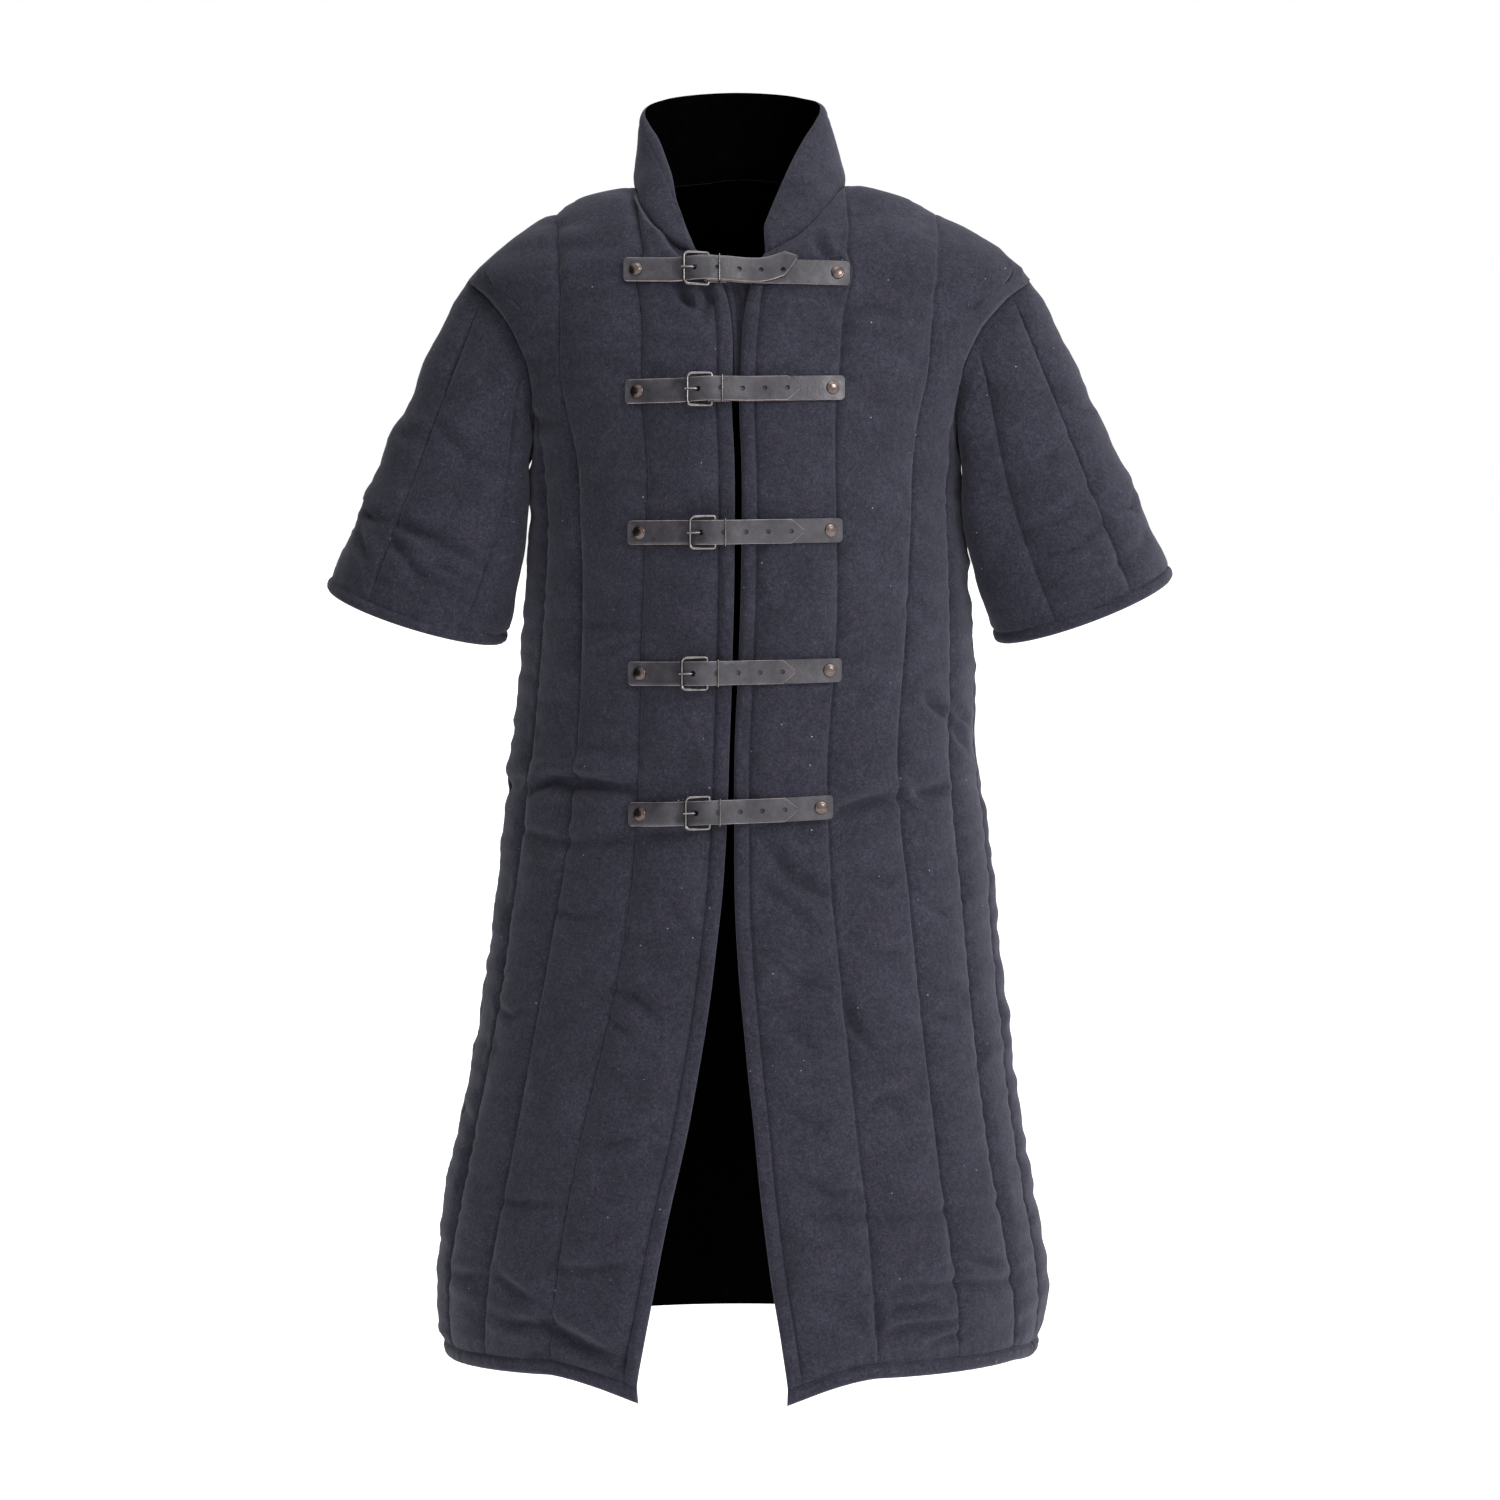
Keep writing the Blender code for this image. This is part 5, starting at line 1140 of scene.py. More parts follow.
class GAMBESON_OT_fronts(bpy.types.Operator):
    """Builds the two quilted fronts with their rolled edges"""

    bl_idname = "gambeson.fronts"
    bl_label = "Fronts"

    def execute(self, context):
        sizes = context.scene.gambeson_cloth
        rows, columns = fine_rows(96, 262, 14), fine_columns(11, 27)
        for name, flip in (("front_right", True), ("front_left", False)):
            cloth = panel_cloth(name, rows, columns, sizes)
            cloths = [cloth] if flip else [cloth, underlap(sizes)]
            piece, outer = add_wall(f"{name}_cloth", cloths, False, sizes.seam_gap, flip, wool_materials())
            OUTER[name] = outer
            declare(piece, name, cloth[0])
        return {"FINISHED"}


class GAMBESON_OT_back(bpy.types.Operator):
    """Builds the quilted back in one piece"""

    bl_idname = "gambeson.back"
    bl_label = "Back"

    def execute(self, context):
        sizes = context.scene.gambeson_cloth
        rows, columns = fine_rows(74, 204, 12), fine_columns(9, 18)
        left = panel_cloth("back_left", rows, columns, sizes)
        right = panel_cloth("back_right", rows, columns, sizes)
        cloth = [np.concatenate([a[:, ::-1], b[:, 1:]], 1) for a, b in zip(left, right)]
        piece, _ = add_wall("back_cloth", [cloth], False, sizes.seam_gap, False, wool_materials())
        declare(piece, "back", cloth[0])
        return {"FINISHED"}


class GAMBESON_OT_sleeves(bpy.types.Operator):
    """Builds the two quilted half sleeves"""

    bl_idname = "gambeson.sleeves"
    bl_label = "Sleeves"

    def execute(self, context):
        sizes = context.scene.gambeson_cloth
        for side, word in ((-1, "right"), (1, "left")):
            cloth = sleeve_cloth(side, sizes)
            piece, _ = add_wall(f"sleeve_{word}_cloth", [cloth], True, sizes.seam_gap, side > 0,
                                wool_materials())
            closed = np.concatenate([cloth[0], cloth[0][:, :1]], 1)
            declare(piece, f"sleeve_{word}", closed)
        return {"FINISHED"}


class GAMBESON_OT_collar(bpy.types.Operator):
    """Builds the padded stand collar"""

    bl_idname = "gambeson.collar"
    bl_label = "Collar"

    def execute(self, context):
        sizes = context.scene.gambeson_cloth
        cloth = collar_cloth(sizes)
        piece, _ = add_wall("collar_cloth", [cloth], False, sizes.seam_gap, False, wool_materials())
        declare(piece, "collar", cloth[0])
        return {"FINISHED"}


class Bed:
    """The line that a strap lies along: taut over the cloth between its ends, and tilted as the
    cloth is there. Places on it are across, up from its middle, and lift off it."""

    def __init__(self, strap, width, lie, surface):
        self.strap, self.lie = strap, lie
        low, high, edge = strap.right_rivet - STRAP_END, strap.left_rivet + STRAP_END, width * 0.52
        top = surface(strap.right_rivet, strap.right_height + edge)
        bottom = surface(strap.right_rivet, strap.right_height - edge)
        self.tilt = (top - bottom) / (2 * edge)
        points = []
        for x in np.linspace(low, high, 90):
            middle = self.height(x)
            found = [(surface(x, middle + up), up) for up in np.linspace(-edge, edge, 7)]
            found = [y - self.tilt * up for y, up in found if y is not None]
            if found:
                points.append((x, min(found)))
        hull = []
        for point in points:
            while len(hull) > 1:
                (ax, ay), (bx, by) = hull[-2], hull[-1]
                if (bx - ax) * (point[1] - ay) - (by - ay) * (point[0] - ax) <= 0:
                    hull.pop()
                else:
                    break
            hull.append(point)
        self.hull = np.array(hull)

    def height(self, across):
        s = self.strap
        slope = (s.left_height - s.right_height) / (s.left_rivet - s.right_rivet)
        return s.right_height + slope * (across - s.right_rivet)

    def depth(self, across):
        """How far forward the bed lies, rounded over its corners by a mean of five places."""
        steps = (-0.006, -0.003, 0, 0.003, 0.006)
        near = [np.interp(across + step, self.hull[:, 0], self.hull[:, 1]) for step in steps]
        flat = np.interp(across, self.hull[:, 0], self.hull[:, 1])
        return np.minimum(flat, np.mean(near, axis=0))

    def point(self, across, up, lift):
        """A point of the strap, lifted square to the line that the strap lies along."""
        reach = 0.012
        slope = (self.depth(across + reach) - self.depth(across - reach)) / (2 * reach)
        length = np.sqrt(1 + slope * slope + self.tilt * self.tilt)
        off = (lift + self.lie) / length
        return np.stack([
            across + slope * off,
            self.depth(across) + self.tilt * up - off,
            self.height(across) + up + self.tilt * off,
        ], -1)


STRAP_END, POINT_LENGTH, BUCKLE_REACH, SETTLE, RISE_START = 0.0105, 0.010, 0.0195, 0.026, 0.012
KEEPER_RADIUS, KEEPER_FROM_HINGE, KEEPER_HALF_HEIGHT = 0.0006, 0.0090, 0.0112
BUCKLE_HALF_HEIGHT, BUCKLE_CORNER, FOLD_BACK = 0.0133, 0.004, 0.0150
HOLE_RADIUS, PRONG_HOLE_RADIUS, HOLE_STEP, PRONG_FROM_BAR, HOLES = 0.0021, 0.0024, 0.0183, 0.0085, 5
STRAP_CORNER, CURL_LENGTH = 0.0035, 0.034
SHARP = math.radians(50)
CAP_SIDES = 40
PRONG_RADIUS, RIVET_RADIUS, RIVET_HEIGHT = 0.0008, 0.0056, 0.0024


def upper_leg_lift(across, hinge, sizes):
    """The buckle strap's lift: over the keeper and the hinge bar, and flat beyond them."""
    keeper = hinge + KEEPER_FROM_HINGE
    over_bar = sizes.leather + 2 * sizes.clear + 2 * sizes.wire
    over_keeper = sizes.leather + 2 * sizes.clear + 2 * KEEPER_RADIUS
    rising = over_bar + (over_keeper - over_bar) * ease((across - hinge) / (keeper - hinge))
    return np.where(across < keeper, rising, over_keeper * (1 - ease((across - keeper) / SETTLE)))


def tongue_lift(across, strap, sizes):
    """The tongue's lift: flat at its rivet, up through the buckle, then on the buckle strap."""
    hinge = strap.bar + BUCKLE_REACH
    step = sizes.leather + sizes.clear
    top = upper_leg_lift(np.float64(hinge), hinge, sizes) + step
    rising = top * ease((across - (strap.bar - RISE_START)) / (BUCKLE_REACH + RISE_START))
    return np.where(across >= hinge, upper_leg_lift(across, hinge, sizes) + step, rising)


def band(name, bed, across, low, high, half, bend, materials):
    """A leather band: at each place along it, a slim rectangle with softened corners from the
    lower lift to the upper one, its cut edges in the second material. bend moves it up."""
    soft = 0.00035
    profile = [(-1, -1, 0, soft), (-1, -1, soft, 0), (1, -1, -soft, 0), (1, -1, 0, soft),
               (1, 1, 0, -soft), (1, 1, -soft, 0), (-1, 1, soft, 0), (-1, 1, 0, -soft)]
    spread = np.linspace(-1, 1, 7)[1:-1]
    ring = []
    for k, (side, level, du, dl) in enumerate(profile):
        ring.append((side, level, du, dl))
        if k == 1:
            ring += [(s, -1, 0, 0) for s in spread]
        if k == 5:
            ring += [(s, 1, 0, 0) for s in spread[::-1]]
    side = np.array([r[0] for r in ring])[None]
    level = np.array([r[1] for r in ring])[None]
    du = np.array([r[2] for r in ring])[None]
    dl = np.array([r[3] for r in ring])[None]
    up = side * half[:, None] + du + bend[:, None]
    lift = np.where(level > 0, high[:, None], low[:, None]) + dl
    points = bed.point(np.broadcast_to(across[:, None], up.shape), up, lift)
    rows, columns = up.shape
    number = np.arange(rows * columns).reshape(rows, columns)
    number = np.concatenate([number, number[:, :1]], 1)
    quads = grid_quads(number)
    edge = np.broadcast_to(np.isin(np.arange(columns), [0, 7, 8, 9, 16, 17])[None], quads.shape[:2])
    quads, edge = quads.reshape(-1, 4), edge.ravel()
    ends = []
    for row, turn in ((0, True), (rows - 1, False)):
        loop = list(number[row, :-1])
        ends.append(loop[::-1] if turn else loop)
    return add_band_mesh(name, points.reshape(-1, 3), quads, edge, ends, materials)


def grid_quads(number, turned=False):
    """The quads between a grid's numbered points; turned, they face the other way."""
    corners = [number[:-1, :-1], number[:-1, 1:], number[1:, 1:], number[1:, :-1]]
    if turned:
        corners = [corners[k] for k in (0, 3, 2, 1)]
    return np.stack(corners, -1)


def add_band_mesh(name, points, quads, edge, ends, materials):
    """A band's mesh: its quads, and a polygon over each end."""
    faces = quads.tolist() + [[int(k) for k in loop] for loop in ends]
    mesh = bpy.data.meshes.new(name)
    mesh.from_pydata(points.tolist(), [], faces)
    for material in materials:
        mesh.materials.append(material)
    indices = np.concatenate([edge.astype(np.int32), np.ones(len(ends), np.int32)])
    mesh.polygons.foreach_set("material_index", indices)
    mesh.update()
    mesh.shade_smooth()
    mesh.set_sharp_from_angle(angle=SHARP)
    return placed(name, mesh)


def tube(name, line, radius, closed, materials, around=14):
    """A round wire: circles of the radius square to a line of points, turned as little as can be
    from one to the next, with domed ends."""
    line = np.asarray(line, float)
    count = len(line)
    if closed:
        way = np.roll(line, -1, 0) - np.roll(line, 1, 0)
    else:
        way = np.gradient(line, axis=0)
    way /= np.linalg.norm(way, axis=1, keepdims=True)
    side = np.zeros_like(way)
    first = np.cross(way[0], (0.31, 0.52, 0.79))
    side[0] = first / np.linalg.norm(first)
    for k in range(1, count):
        carried = side[k - 1] - way[k] * (side[k - 1] @ way[k])
        side[k] = carried / np.linalg.norm(carried)
    turn = np.linspace(0, 2 * np.pi, around, endpoint=False)
    if closed:
        last = side[-1] - way[0] * (side[-1] @ way[0])
        other = np.cross(way[0], side[0])
        twist = math.atan2(last @ other, last @ side[0])
        angle = turn[None] - twist * (np.arange(count) / count)[:, None]
    else:
        angle = np.broadcast_to(turn[None], (count, around))
    other = np.cross(way, side)
    ring = side[:, None] * np.cos(angle)[..., None] + other[:, None] * np.sin(angle)[..., None]
    size = np.broadcast_to(np.asarray(radius, float), (count,))[:, None, None]
    if not closed:
        extra = [(0.0, 0.15), (0.45, 0.70)]
        start = [(line[0] - way[0] * radius * (0.8 - 0.8 * a), b) for a, b in extra]
        rings = [p + ring[0] * radius * b for p, b in start] + list(line[:, None] + ring * size)
        end = [(line[-1] + way[-1] * radius * (0.8 - 0.8 * a), b) for a, b in extra[::-1]]
        rings += [p + ring[-1] * radius * b for p, b in end]
        points = np.array(rings)
    else:
        points = line[:, None] + ring * size
    rows = len(points)
    number = np.arange(rows * around).reshape(rows, around)
    number = np.concatenate([number, number[:, :1]], 1)
    if closed:
        number = np.concatenate([number, number[:1]], 0)
    quads = grid_quads(number)
    faces = quads.reshape(-1, 4).tolist()
    if not closed:
        faces += [list(map(int, number[0, :-1][::-1])), list(map(int, number[-1, :-1]))]
    mesh = bpy.data.meshes.new(name)
    mesh.from_pydata(points.reshape(-1, 3).tolist(), [], faces)
    for material in materials:
        mesh.materials.append(material)
    mesh.update()
    mesh.shade_smooth()
    return placed(name, mesh)


def leather(name, colour, rough, worn):
    """Strap leather: a fine pebbled grain, cloudy wear and a soft gloss."""
    n = Nodes(name)
    dark, pale = tuple(c * 0.50 for c in colour), tuple(min(c * 1.60, 1.0) for c in colour)
    base = n.ramp(n.noise(55, 5.0, 0.65), [(0.32, dark), (0.68, pale)])
    fleck = n.ramp(n.noise(700, 2.0, 0.6), [(0.35, 1.0 - worn), (0.7, 1.0 + worn)])
    n.set("Base Color", n.mix("MULTIPLY", 1.0, base, fleck))
    n.set("Roughness", n.ramp(n.noise(60, 4.0, 0.6), [(0.3, rough - 0.14), (0.7, rough + 0.14)]))
    n.set("Specular IOR Level", 0.55)
    grain = n.bump(n.cells(1300), 0.25, 0.0002)
    n.set("Normal", n.bump(n.noise(110, 4.0, 0.6), 0.55, 0.0012, grain))
    return n.material


def metal(name, colour, rough):
    """Plated metal: faint scratches and uneven tarnish under a soft gloss."""
    n = Nodes(name)
    dark = tuple(c * 0.62 for c in colour)
    n.set("Base Color", n.ramp(n.noise(240, 4.0, 0.65), [(0.34, dark), (0.58, colour)]))
    n.set("Metallic", 1.0)
    n.set("Roughness", n.ramp(n.noise(380, 3.0, 0.6), [(0.3, rough - 0.07), (0.7, rough + 0.12)]))
    n.set("Normal", n.bump(n.noise(900, 2.0, 0.5), 0.10, 0.0002))
    return n.material


@functools.lru_cache(maxsize=None)
def trim_materials():
    """Leather face, cut edge paled partly by painted floor reflection, buckle metal and rivet metal."""
    straps = bpy.context.scene.gambeson_straps
    return {
        "leather": leather("strap_leather", tuple(straps.leather_colour), 0.42, 0.12),
        "edge": leather("leather_cut_edge_reflection", tuple(straps.cut_edge_reflection_colour), 0.60, 0.20),
        "metal": metal("buckle_nickel", tuple(straps.metal_colour), 0.20),
        "rivet": metal("rivet_nickel", tuple(straps.rivet_colour), 0.24),
    }


@functools.lru_cache(maxsize=None)
def beds():
    """The line that each strap lies along, over the fronts' outside."""
    straps = bpy.context.scene.gambeson_straps
    trees = []
    for name in ("front_right", "front_left"):
        if name not in OUTER:
            raise RuntimeError("The fronts are built before the straps that lie on them")
        grid = OUTER[name]
        number = np.arange(grid.shape[0] * grid.shape[1]).reshape(grid.shape[:2])
        quads = grid_quads(number, turned=True)
        trees.append(BVHTree.FromPolygons(grid.reshape(-1, 3).tolist(), quads.reshape(-1, 4).tolist()))

    def surface(across, height):
        hits = [tree.ray_cast(Vector((across, -1, height)), Vector((0, 1, 0))) for tree in trees]
        depths = [hit[0].y for hit in hits if hit[0] is not None and hit[0].y < 0]
        return min(depths) if depths else None

    return [Bed(strap, straps.width, straps.lie, surface) for strap in STRAPS]


def dress(piece, node):
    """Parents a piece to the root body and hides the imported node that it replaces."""
    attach(piece, "root")
    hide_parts(node)


def punch(piece, bed, places):
    """Cuts round holes through a strap at places of across, lift and radius."""
    cutter_points, cutter_faces = [], []
    around = 20
    turn = np.linspace(0, 2 * np.pi, around, endpoint=False)
    for across, lift, radius in places:
        centre = bed.point(np.float64(across), 0.0, lift)
        way = bed.point(np.float64(across), 0.0, lift + 0.01) - centre
        way /= np.linalg.norm(way)
        side = np.cross(way, (0, 0, 1.0))
        side /= np.linalg.norm(side)
        other = np.cross(way, side)
        ring = side * np.cos(turn)[:, None] * radius + other * np.sin(turn)[:, None] * radius
        base = len(cutter_points)
        cutter_points += list(centre + ring - way * 0.004) + list(centre + ring + way * 0.004)
        cutter_faces += [
            [base + k, base + (k + 1) % around, base + around + (k + 1) % around, base + around + k]
            for k in range(around)
        ]
        cutter_faces.append(list(range(base, base + around))[::-1])
        cutter_faces.append(list(range(base + around, base + 2 * around)))
    mesh = bpy.data.meshes.new(piece.name + "_cutter")
    mesh.from_pydata([tuple(p) for p in cutter_points], [], cutter_faces)
    cutter = placed(piece.name + "_cutter", mesh)
    cut = piece.modifiers.new("holes", "BOOLEAN")
    cut.operation, cut.object, cut.solver = "DIFFERENCE", cutter, "EXACT"
    baked = bpy.data.meshes.new_from_object(piece.evaluated_get(bpy.context.evaluated_depsgraph_get()))
    piece.modifiers.clear()
    old, piece.data = piece.data, baked
    name = old.name
    bpy.data.meshes.remove(old)
    baked.name = name
    bpy.data.objects.remove(cutter)
    bpy.data.meshes.remove(mesh)


def strap_half(across, start, tip, sizes):
    """Half the strap's width along it: rounded corners at its riveted end, a point at its tip."""
    half = sizes.width / 2
    into = np.clip((across - start) / STRAP_CORNER, 0, 1)
    round_end = half - STRAP_CORNER * (1 - np.sqrt(np.maximum(1 - (1 - into) ** 2, 0)))
    if tip is None:
        return round_end
    point = np.clip((tip - across) / POINT_LENGTH, 0, 1)
    return np.minimum(round_end, 0.0012 + (half - 0.0012) * point)


class GAMBESON_OT_straps(bpy.types.Operator):
    """Builds the pointed tongues with their holes, and the straps folded round the buckles"""

    bl_idname = "gambeson.straps"
    bl_label = "Straps"

    def execute(self, context):
        sizes = context.scene.gambeson_straps
        finishes = trim_materials()
        pair = (finishes["leather"], finishes["edge"])
        for number, (strap, bed) in enumerate(zip(STRAPS, beds()), 1):
            start, hinge = strap.right_rivet - STRAP_END, strap.bar + BUCKLE_REACH
            corner = start + STRAP_CORNER * (1 - np.cos(np.linspace(0, np.pi / 2, 7)))
            middle = np.linspace(start + STRAP_CORNER, strap.tip - POINT_LENGTH, 96)[1:]
            point = np.linspace(strap.tip - POINT_LENGTH, strap.tip, 9)[1:]
            across = np.concatenate([corner, middle, point])
            lift = tongue_lift(across, strap, sizes)
            half = strap_half(across, start, strap.tip, sizes)
            bend = np.zeros(len(across))
            if number == 1:
                curl = np.clip((across - (strap.tip - CURL_LENGTH)) / CURL_LENGTH, 0, 1)
                bend, lift = 0.0105 * curl**1.8, lift + 0.0035 * curl**2
            piece = band(f"tongue_{number}_leather", bed, across, lift, lift + sizes.leather, half, bend,
                         pair)
            holes = []
            for k in range(HOLES):
                spot = strap.bar + PRONG_FROM_BAR + k * HOLE_STEP
                if spot > strap.tip - POINT_LENGTH:
                    break
                holes.append((spot, float(tongue_lift(np.float64(spot), strap, sizes)),
                              HOLE_RADIUS if k else PRONG_HOLE_RADIUS))
            punch(piece, bed, holes)
            dress(piece, f"tongue_{number}")
            piece = self.folded(f"buckle_strap_{number}_leather", strap, bed, hinge, sizes, pair)
            dress(piece, f"buckle_strap_{number}")
        return {"FINISHED"}

    def folded(self, name, strap, bed, hinge, sizes, pair):
        """The strap's upper leg, half a turn round the hinge bar, and a short lower leg."""
        end = strap.left_rivet + STRAP_END
        corner = end - STRAP_CORNER * (1 - np.cos(np.linspace(0, np.pi / 2, 7)))
        across = np.concatenate([corner, np.linspace(end - STRAP_CORNER, hinge, 80)[1:]])
        lift = upper_leg_lift(across, hinge, sizes)
        low, high = lift, lift + sizes.leather
        centre = sizes.leather + sizes.clear + sizes.wire
        inner = sizes.wire + sizes.clear
        turn = np.radians(np.linspace(0, 180, 15)[1:-1])
        x_outer = np.concatenate([across, hinge - (inner + sizes.leather) * np.sin(turn),
                                  np.linspace(hinge, hinge + FOLD_BACK, 8)])
        x_inner = np.concatenate([across, hinge - inner * np.sin(turn),
                                  np.linspace(hinge, hinge + FOLD_BACK, 8)])
        l_outer = np.concatenate([high, centre + (inner + sizes.leather) * np.cos(turn),
                                  np.full(8, centre - inner - sizes.leather)])
        l_inner = np.concatenate([low, centre + inner * np.cos(turn), np.full(8, centre - inner)])
        half = strap_half(-x_outer, -end, None, sizes)
        half = np.where(x_outer < end - STRAP_CORNER, sizes.width / 2, half)
        return folded_band(name, bed, x_outer, l_outer, x_inner, l_inner, half, pair)


def folded_band(name, bed, x_outer, l_outer, x_inner, l_inner, half, materials):
    """A band given by its outer and its inner line of places across and lifts."""
    spread = np.linspace(-1, 1, 9)
    outer = bed.point(np.broadcast_to(x_outer[:, None], (len(half), 9)), half[:, None] * spread,
                      l_outer[:, None] * np.ones(9))
    inner = bed.point(np.broadcast_to(x_inner[:, None], (len(half), 9)), half[:, None] * spread,
                      l_inner[:, None] * np.ones(9))
    quads, _ = wall_quads(len(half), 9, False)
    flat = (len(half) - 1) * 8
    index = np.zeros(len(quads), np.int32)
    index[flat:len(quads) - flat] = 1
    points = np.concatenate([outer.reshape(-1, 3), inner.reshape(-1, 3)])
    piece = add_mesh(name, points, quads[:, ::-1], materials, index)
    piece.data.set_sharp_from_angle(angle=SHARP)
    return piece


def frame_lift(across, strap, sizes):
    """The buckle frame lies in a plane from its hinge bar up to its outer bar on the tongue."""
    hinge = strap.bar + BUCKLE_REACH
    low = sizes.leather + sizes.clear + sizes.wire
    top = float(tongue_lift(np.float64(strap.bar), strap, sizes))
    high = top + sizes.leather + sizes.clear + sizes.wire + 0.0004
    return low + (high - low) * (hinge - across) / BUCKLE_REACH


class GAMBESON_OT_buckles(bpy.types.Operator):
    """Builds the wire buckles, their prongs and keepers"""

    bl_idname = "gambeson.buckles"
    bl_label = "Buckles"

    def execute(self, context):
        sizes = context.scene.gambeson_straps
        finish = (trim_materials()["metal"],)
        for number, (strap, bed) in enumerate(zip(STRAPS, beds()), 1):
            hinge, half, corner = strap.bar + BUCKLE_REACH, BUCKLE_HALF_HEIGHT, BUCKLE_CORNER
            turn = np.linspace(np.pi / 2, 0, 9)
            x = [hinge, hinge - 0.0004, hinge - 0.0012, hinge - 0.0060, hinge - 0.0110]
            y = [half - 0.0012, half - 0.0004, half, half, half]
            x += list(strap.bar + corner * (1 - np.cos(turn)))
            y += list(half - corner + corner * np.sin(turn))
            y += list(np.linspace(half - corner, corner - half, 8)[1:-1])
            x += [strap.bar] * 6
            x += list(strap.bar + corner * (1 - np.cos(turn[::-1])))
            y += list(-(half - corner) - corner * np.sin(turn[::-1]))
            x += [hinge - 0.0110, hinge - 0.0060, hinge - 0.0012, hinge - 0.0004, hinge]
            y += [-half, -half, -half, -half + 0.0004, -half + 0.0012]
            x, y = np.array(x), np.array(y)
            line = bed.point(x, y, frame_lift(x, strap, sizes))
            piece = tube(f"buckle_{number}_wire", line, sizes.wire, True, finish)
            dress(piece, f"buckle_{number}")
            top = frame_lift(strap.bar, strap, sizes) + sizes.wire + sizes.clear + PRONG_RADIUS
            spots = np.array([-0.0018, 0.0045, 0.0073, 0.0091, 0.0112, 0.0141])
            lifts = np.array([top, top, top - 0.0010, top - 0.0036, 0.0041, 0.0037])
            fine = np.linspace(spots[0], spots[-1], 30)
            lift = even_curve(fine, spots, lifts[:, None])[:, 0]
            line = bed.point(strap.bar + fine, fine * 0, lift)
            piece = tube(f"prong_{number}_wire", line, PRONG_RADIUS, False, finish)
            dress(piece, f"prong_{number}")
            self.keeper(number, strap, bed, sizes, finish)
        return {"FINISHED"}

    def keeper(self, number, strap, bed, sizes, finish):
        """A loop round the buckle strap's upper leg and the tongue, its corners quarter turns."""
        across = strap.bar + BUCKLE_REACH + KEEPER_FROM_HINGE
        low = sizes.leather + sizes.clear + KEEPER_RADIUS
        top = float(tongue_lift(np.float64(across), strap, sizes))
        high = top + sizes.leather + sizes.clear + KEEPER_RADIUS + 0.0002
        half, corner = KEEPER_HALF_HEIGHT, 0.0010
        up, lift = [], []
        for su, cl, start in ((1, low + corner, -90), (1, high - corner, 0), (-1, high - corner, 90),
                              (-1, low + corner, 180)):
            turn = np.radians(np.linspace(start, start + 90, 6))
            up += list(su * (half - corner) + corner * np.cos(turn))
            lift += list(cl + corner * np.sin(turn))
        up, lift = np.array(up), np.array(lift)
        line = bed.point(np.full(len(up), across), up, lift)
        piece = tube(f"keeper_{number}_wire", line, KEEPER_RADIUS, True, finish, 10)
        dress(piece, f"keeper_{number}")


class GAMBESON_OT_rivets(bpy.types.Operator):
    """Builds the domed rivet caps at the straps' ends"""

    bl_idname = "gambeson.rivets"
    bl_label = "Rivets"

    def execute(self, context):
        sizes = context.scene.gambeson_straps
        finish = (trim_materials()["rivet"],)
        for number, (strap, bed) in enumerate(zip(STRAPS, beds()), 1):
            for word, across in (("right", strap.right_rivet), ("left", strap.left_rivet)):
                piece = self.cap(f"rivet_{word}_{number}_cap", across, bed, sizes, finish)
                dress(piece, f"rivet_{word}_{number}")
        return {"FINISHED"}

    def cap(self, name, across, bed, sizes, finish):
        """A cap turned round its axis: a dome with a pressed ring near its rim and a flat foot."""
        part = np.linspace(0, 1, 15)
        height = RIVET_HEIGHT * np.sqrt(np.maximum(1 - (0.95 * part) ** 2, 0)) ** 1.1
        height = height - 0.00035 * np.exp(-(((part - 0.74) / 0.055) ** 2))
        radius = np.append(RIVET_RADIUS * part, [RIVET_RADIUS * 0.96, RIVET_RADIUS * 0.5])
        height = np.append(height, [0.0, 0.0])
        base = bed.point(np.float64(across), 0.0, sizes.leather + sizes.clear)
        out = bed.point(np.float64(across), 0.0, sizes.leather + sizes.clear + 0.01) - base
        out /= np.linalg.norm(out)
        side = np.cross(out, (0, 0, 1.0))
        side /= np.linalg.norm(side)
        other = np.cross(out, side)
        turn = np.linspace(0, 2 * np.pi, CAP_SIDES, endpoint=False)
        ring = side * np.cos(turn)[:, None] + other * np.sin(turn)[:, None]
        rings = base + ring[None] * radius[1:, None, None] + out * height[1:, None, None]
        points = np.concatenate([[base + out * height[0]], rings.reshape(-1, 3), [base]])
        number = 1 + np.arange(len(rings) * CAP_SIDES).reshape(len(rings), CAP_SIDES)
        number = np.concatenate([number, number[:, :1]], 1)
        quads = grid_quads(number, turned=True)
        last = len(points) - 1
        faces = quads.reshape(-1, 4).tolist()
        faces += [[0, int(number[0, k]), int(number[0, k + 1])] for k in range(CAP_SIDES)]
        faces += [[last, int(number[-1, k + 1]), int(number[-1, k])] for k in range(CAP_SIDES)]
        mesh = bpy.data.meshes.new(name)
        mesh.from_pydata(points.tolist(), [], faces)
        mesh.materials.append(finish[0])
        mesh.update()
        mesh.shade_smooth()
        return placed(name, mesh)


def aim(thing, place, target):
    """Puts a light or camera at a place and turns it to face a target."""
    thing.location = place
    thing.rotation_euler = (Vector(target) - Vector(place)).to_track_quat("-Z", "Y").to_euler()


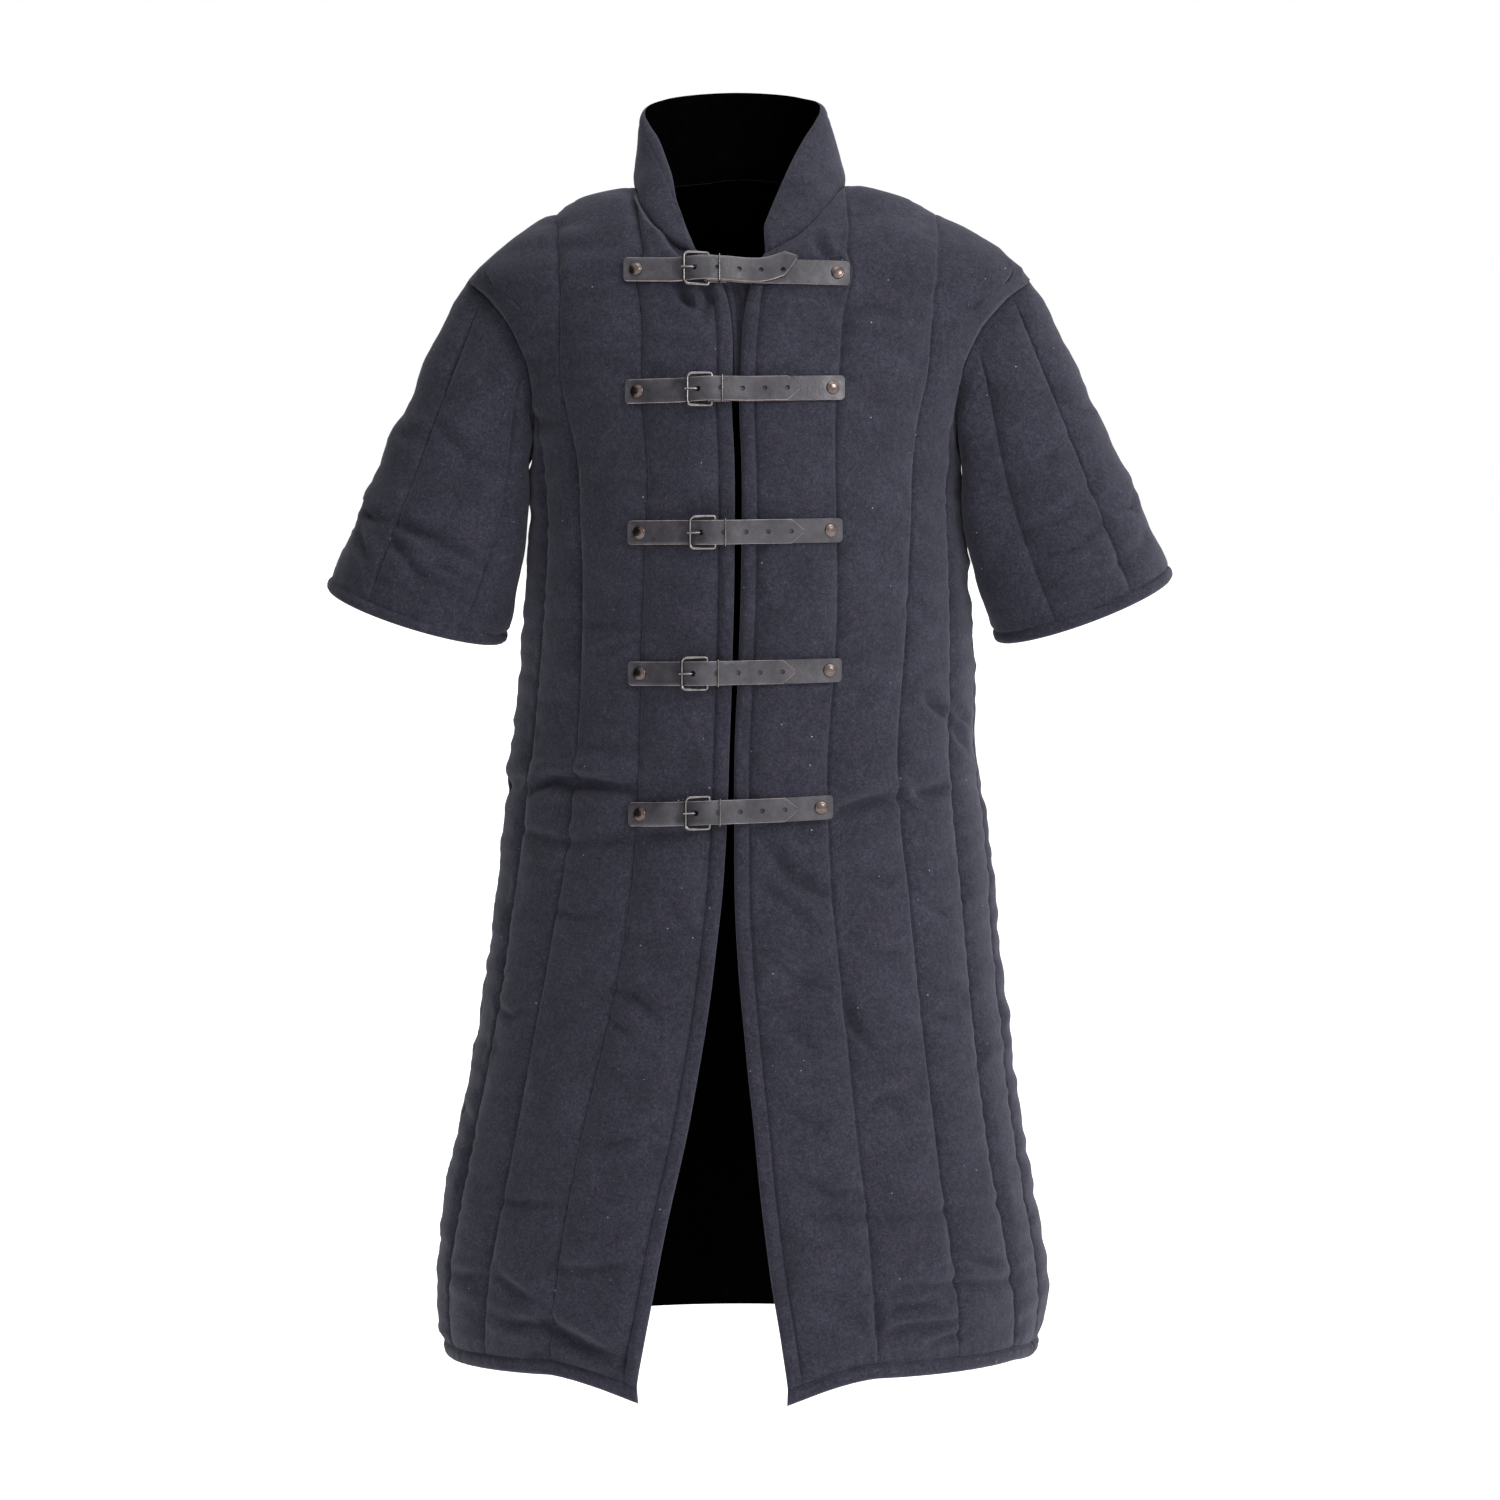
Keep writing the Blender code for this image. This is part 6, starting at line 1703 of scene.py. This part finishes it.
class GAMBESON_OT_stage(bpy.types.Operator):
    """Builds the pale floor, the soft lights and the camera"""

    bl_idname = "gambeson.stage"
    bl_label = "Stage"

    def execute(self, context):
        stage = context.scene.gambeson_stage
        turn = np.linspace(0, 2 * np.pi, 96, endpoint=False)
        rim = np.stack([40 * np.cos(turn), 40 * np.sin(turn), turn * 0 + stage.floor_height], -1)
        mesh = bpy.data.meshes.new("floor")
        mesh.from_pydata([tuple(p) for p in rim], [], [list(range(96))])
        n = Nodes("floor_paper")
        n.set("Base Color", n.ramp(n.noise(2.0, 2.0, 0.5), [(0.3, 0.925), (0.7, 0.94)]))
        n.set("Roughness", 0.9)
        n.set("Emission Color", (1.0, 1.0, 1.0))
        n.set("Emission Strength", 0.50)
        mesh.materials.append(n.material)
        floor = bpy.data.objects.new("floor", mesh)
        context.scene.collection.objects.link(floor)
        mesh = bpy.data.meshes.new("dark_card")
        mesh.from_pydata([(-1.25, -2.5, -1.0), (-1.25, 1.0, -1.0), (-1.25, 1.0, 1.4), (-1.25, -2.5, 1.4)],
                         [], [(0, 1, 2, 3)])
        n = Nodes("dark_felt")
        n.set("Base Color", n.ramp(n.noise(40.0), [(0.3, 0.010), (0.7, 0.014)]))
        n.set("Roughness", 1.0)
        mesh.materials.append(n.material)
        card = bpy.data.objects.new("dark_card", mesh)
        context.scene.collection.objects.link(card)
        world = bpy.data.worlds.new("studio_white")
        world.use_nodes = True
        world.node_tree.nodes["Background"].inputs["Color"].default_value = (1, 1, 1, 1)
        world.node_tree.nodes["Background"].inputs["Strength"].default_value = stage.surround
        context.scene.world = world
        for name, place, size, power in (
            ("key_light", (2.6, -2.6, 1.6), 1.6, stage.key),
            ("fill_light", (-2.6, -2.4, 0.6), 1.8, stage.fill),
            ("top_light", (0.3, -0.6, 2.6), 1.6, stage.fill * 3.0),
        ):
            lamp = bpy.data.lights.new(name, "AREA")
            lamp.size, lamp.energy = size, power
            light = bpy.data.objects.new(name, lamp)
            aim(light, place, (0, 0, -0.45))
            context.scene.collection.objects.link(light)
        lens = bpy.data.cameras.new("camera")
        lens.sensor_width, lens.lens = 36.0, 3678 * 36 / 1500
        camera = bpy.data.objects.new("camera", lens)
        camera.location = (0.0052, -3.2, -0.2523)
        camera.rotation_euler = (math.pi / 2 - math.atan(270 / 3678), 0, 0)
        context.scene.collection.objects.link(camera)
        context.scene.camera = camera
        context.scene.view_settings.view_transform = "Standard"
        context.scene.view_settings.look = "None"
        return {"FINISHED"}


class GAMBESON_PT_sidebar(bpy.types.Panel):
    """The gambeson's builders and sizes"""

    bl_idname = "GAMBESON_PT_sidebar"
    bl_label = "Gambeson"
    bl_space_type = "VIEW_3D"
    bl_region_type = "UI"
    bl_category = "Gambeson"

    def draw(self, context):
        scene = context.scene
        for group in (scene.gambeson_cloth, scene.gambeson_straps, scene.gambeson_stage):
            box = self.layout.box()
            for name in group.__annotations__:
                box.prop(group, name)
        for step in STEPS:
            self.layout.operator(f"gambeson.{step}")


STEPS = ("fronts", "back", "sleeves", "collar", "straps", "buckles", "rivets", "stage")
CLASSES = (
    GambesonCloth, GambesonStraps, GambesonStage, GAMBESON_OT_fronts, GAMBESON_OT_back,
    GAMBESON_OT_sleeves, GAMBESON_OT_collar, GAMBESON_OT_straps, GAMBESON_OT_buckles,
    GAMBESON_OT_rivets, GAMBESON_OT_stage, GAMBESON_PT_sidebar,
)


def register():
    for kind in CLASSES:
        bpy.utils.register_class(kind)
    bpy.types.Scene.gambeson_cloth = PointerProperty(type=GambesonCloth)
    bpy.types.Scene.gambeson_straps = PointerProperty(type=GambesonStraps)
    bpy.types.Scene.gambeson_stage = PointerProperty(type=GambesonStage)


def unregister():
    for name in ("gambeson_cloth", "gambeson_straps", "gambeson_stage"):
        delattr(bpy.types.Scene, name)
    for kind in reversed(CLASSES):
        bpy.utils.unregister_class(kind)


def main():
    """Builds every piece and the stage."""
    register()
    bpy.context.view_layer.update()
    for step in STEPS:
        getattr(bpy.ops.gambeson, step)()


if __name__ == "__main__":
    main()
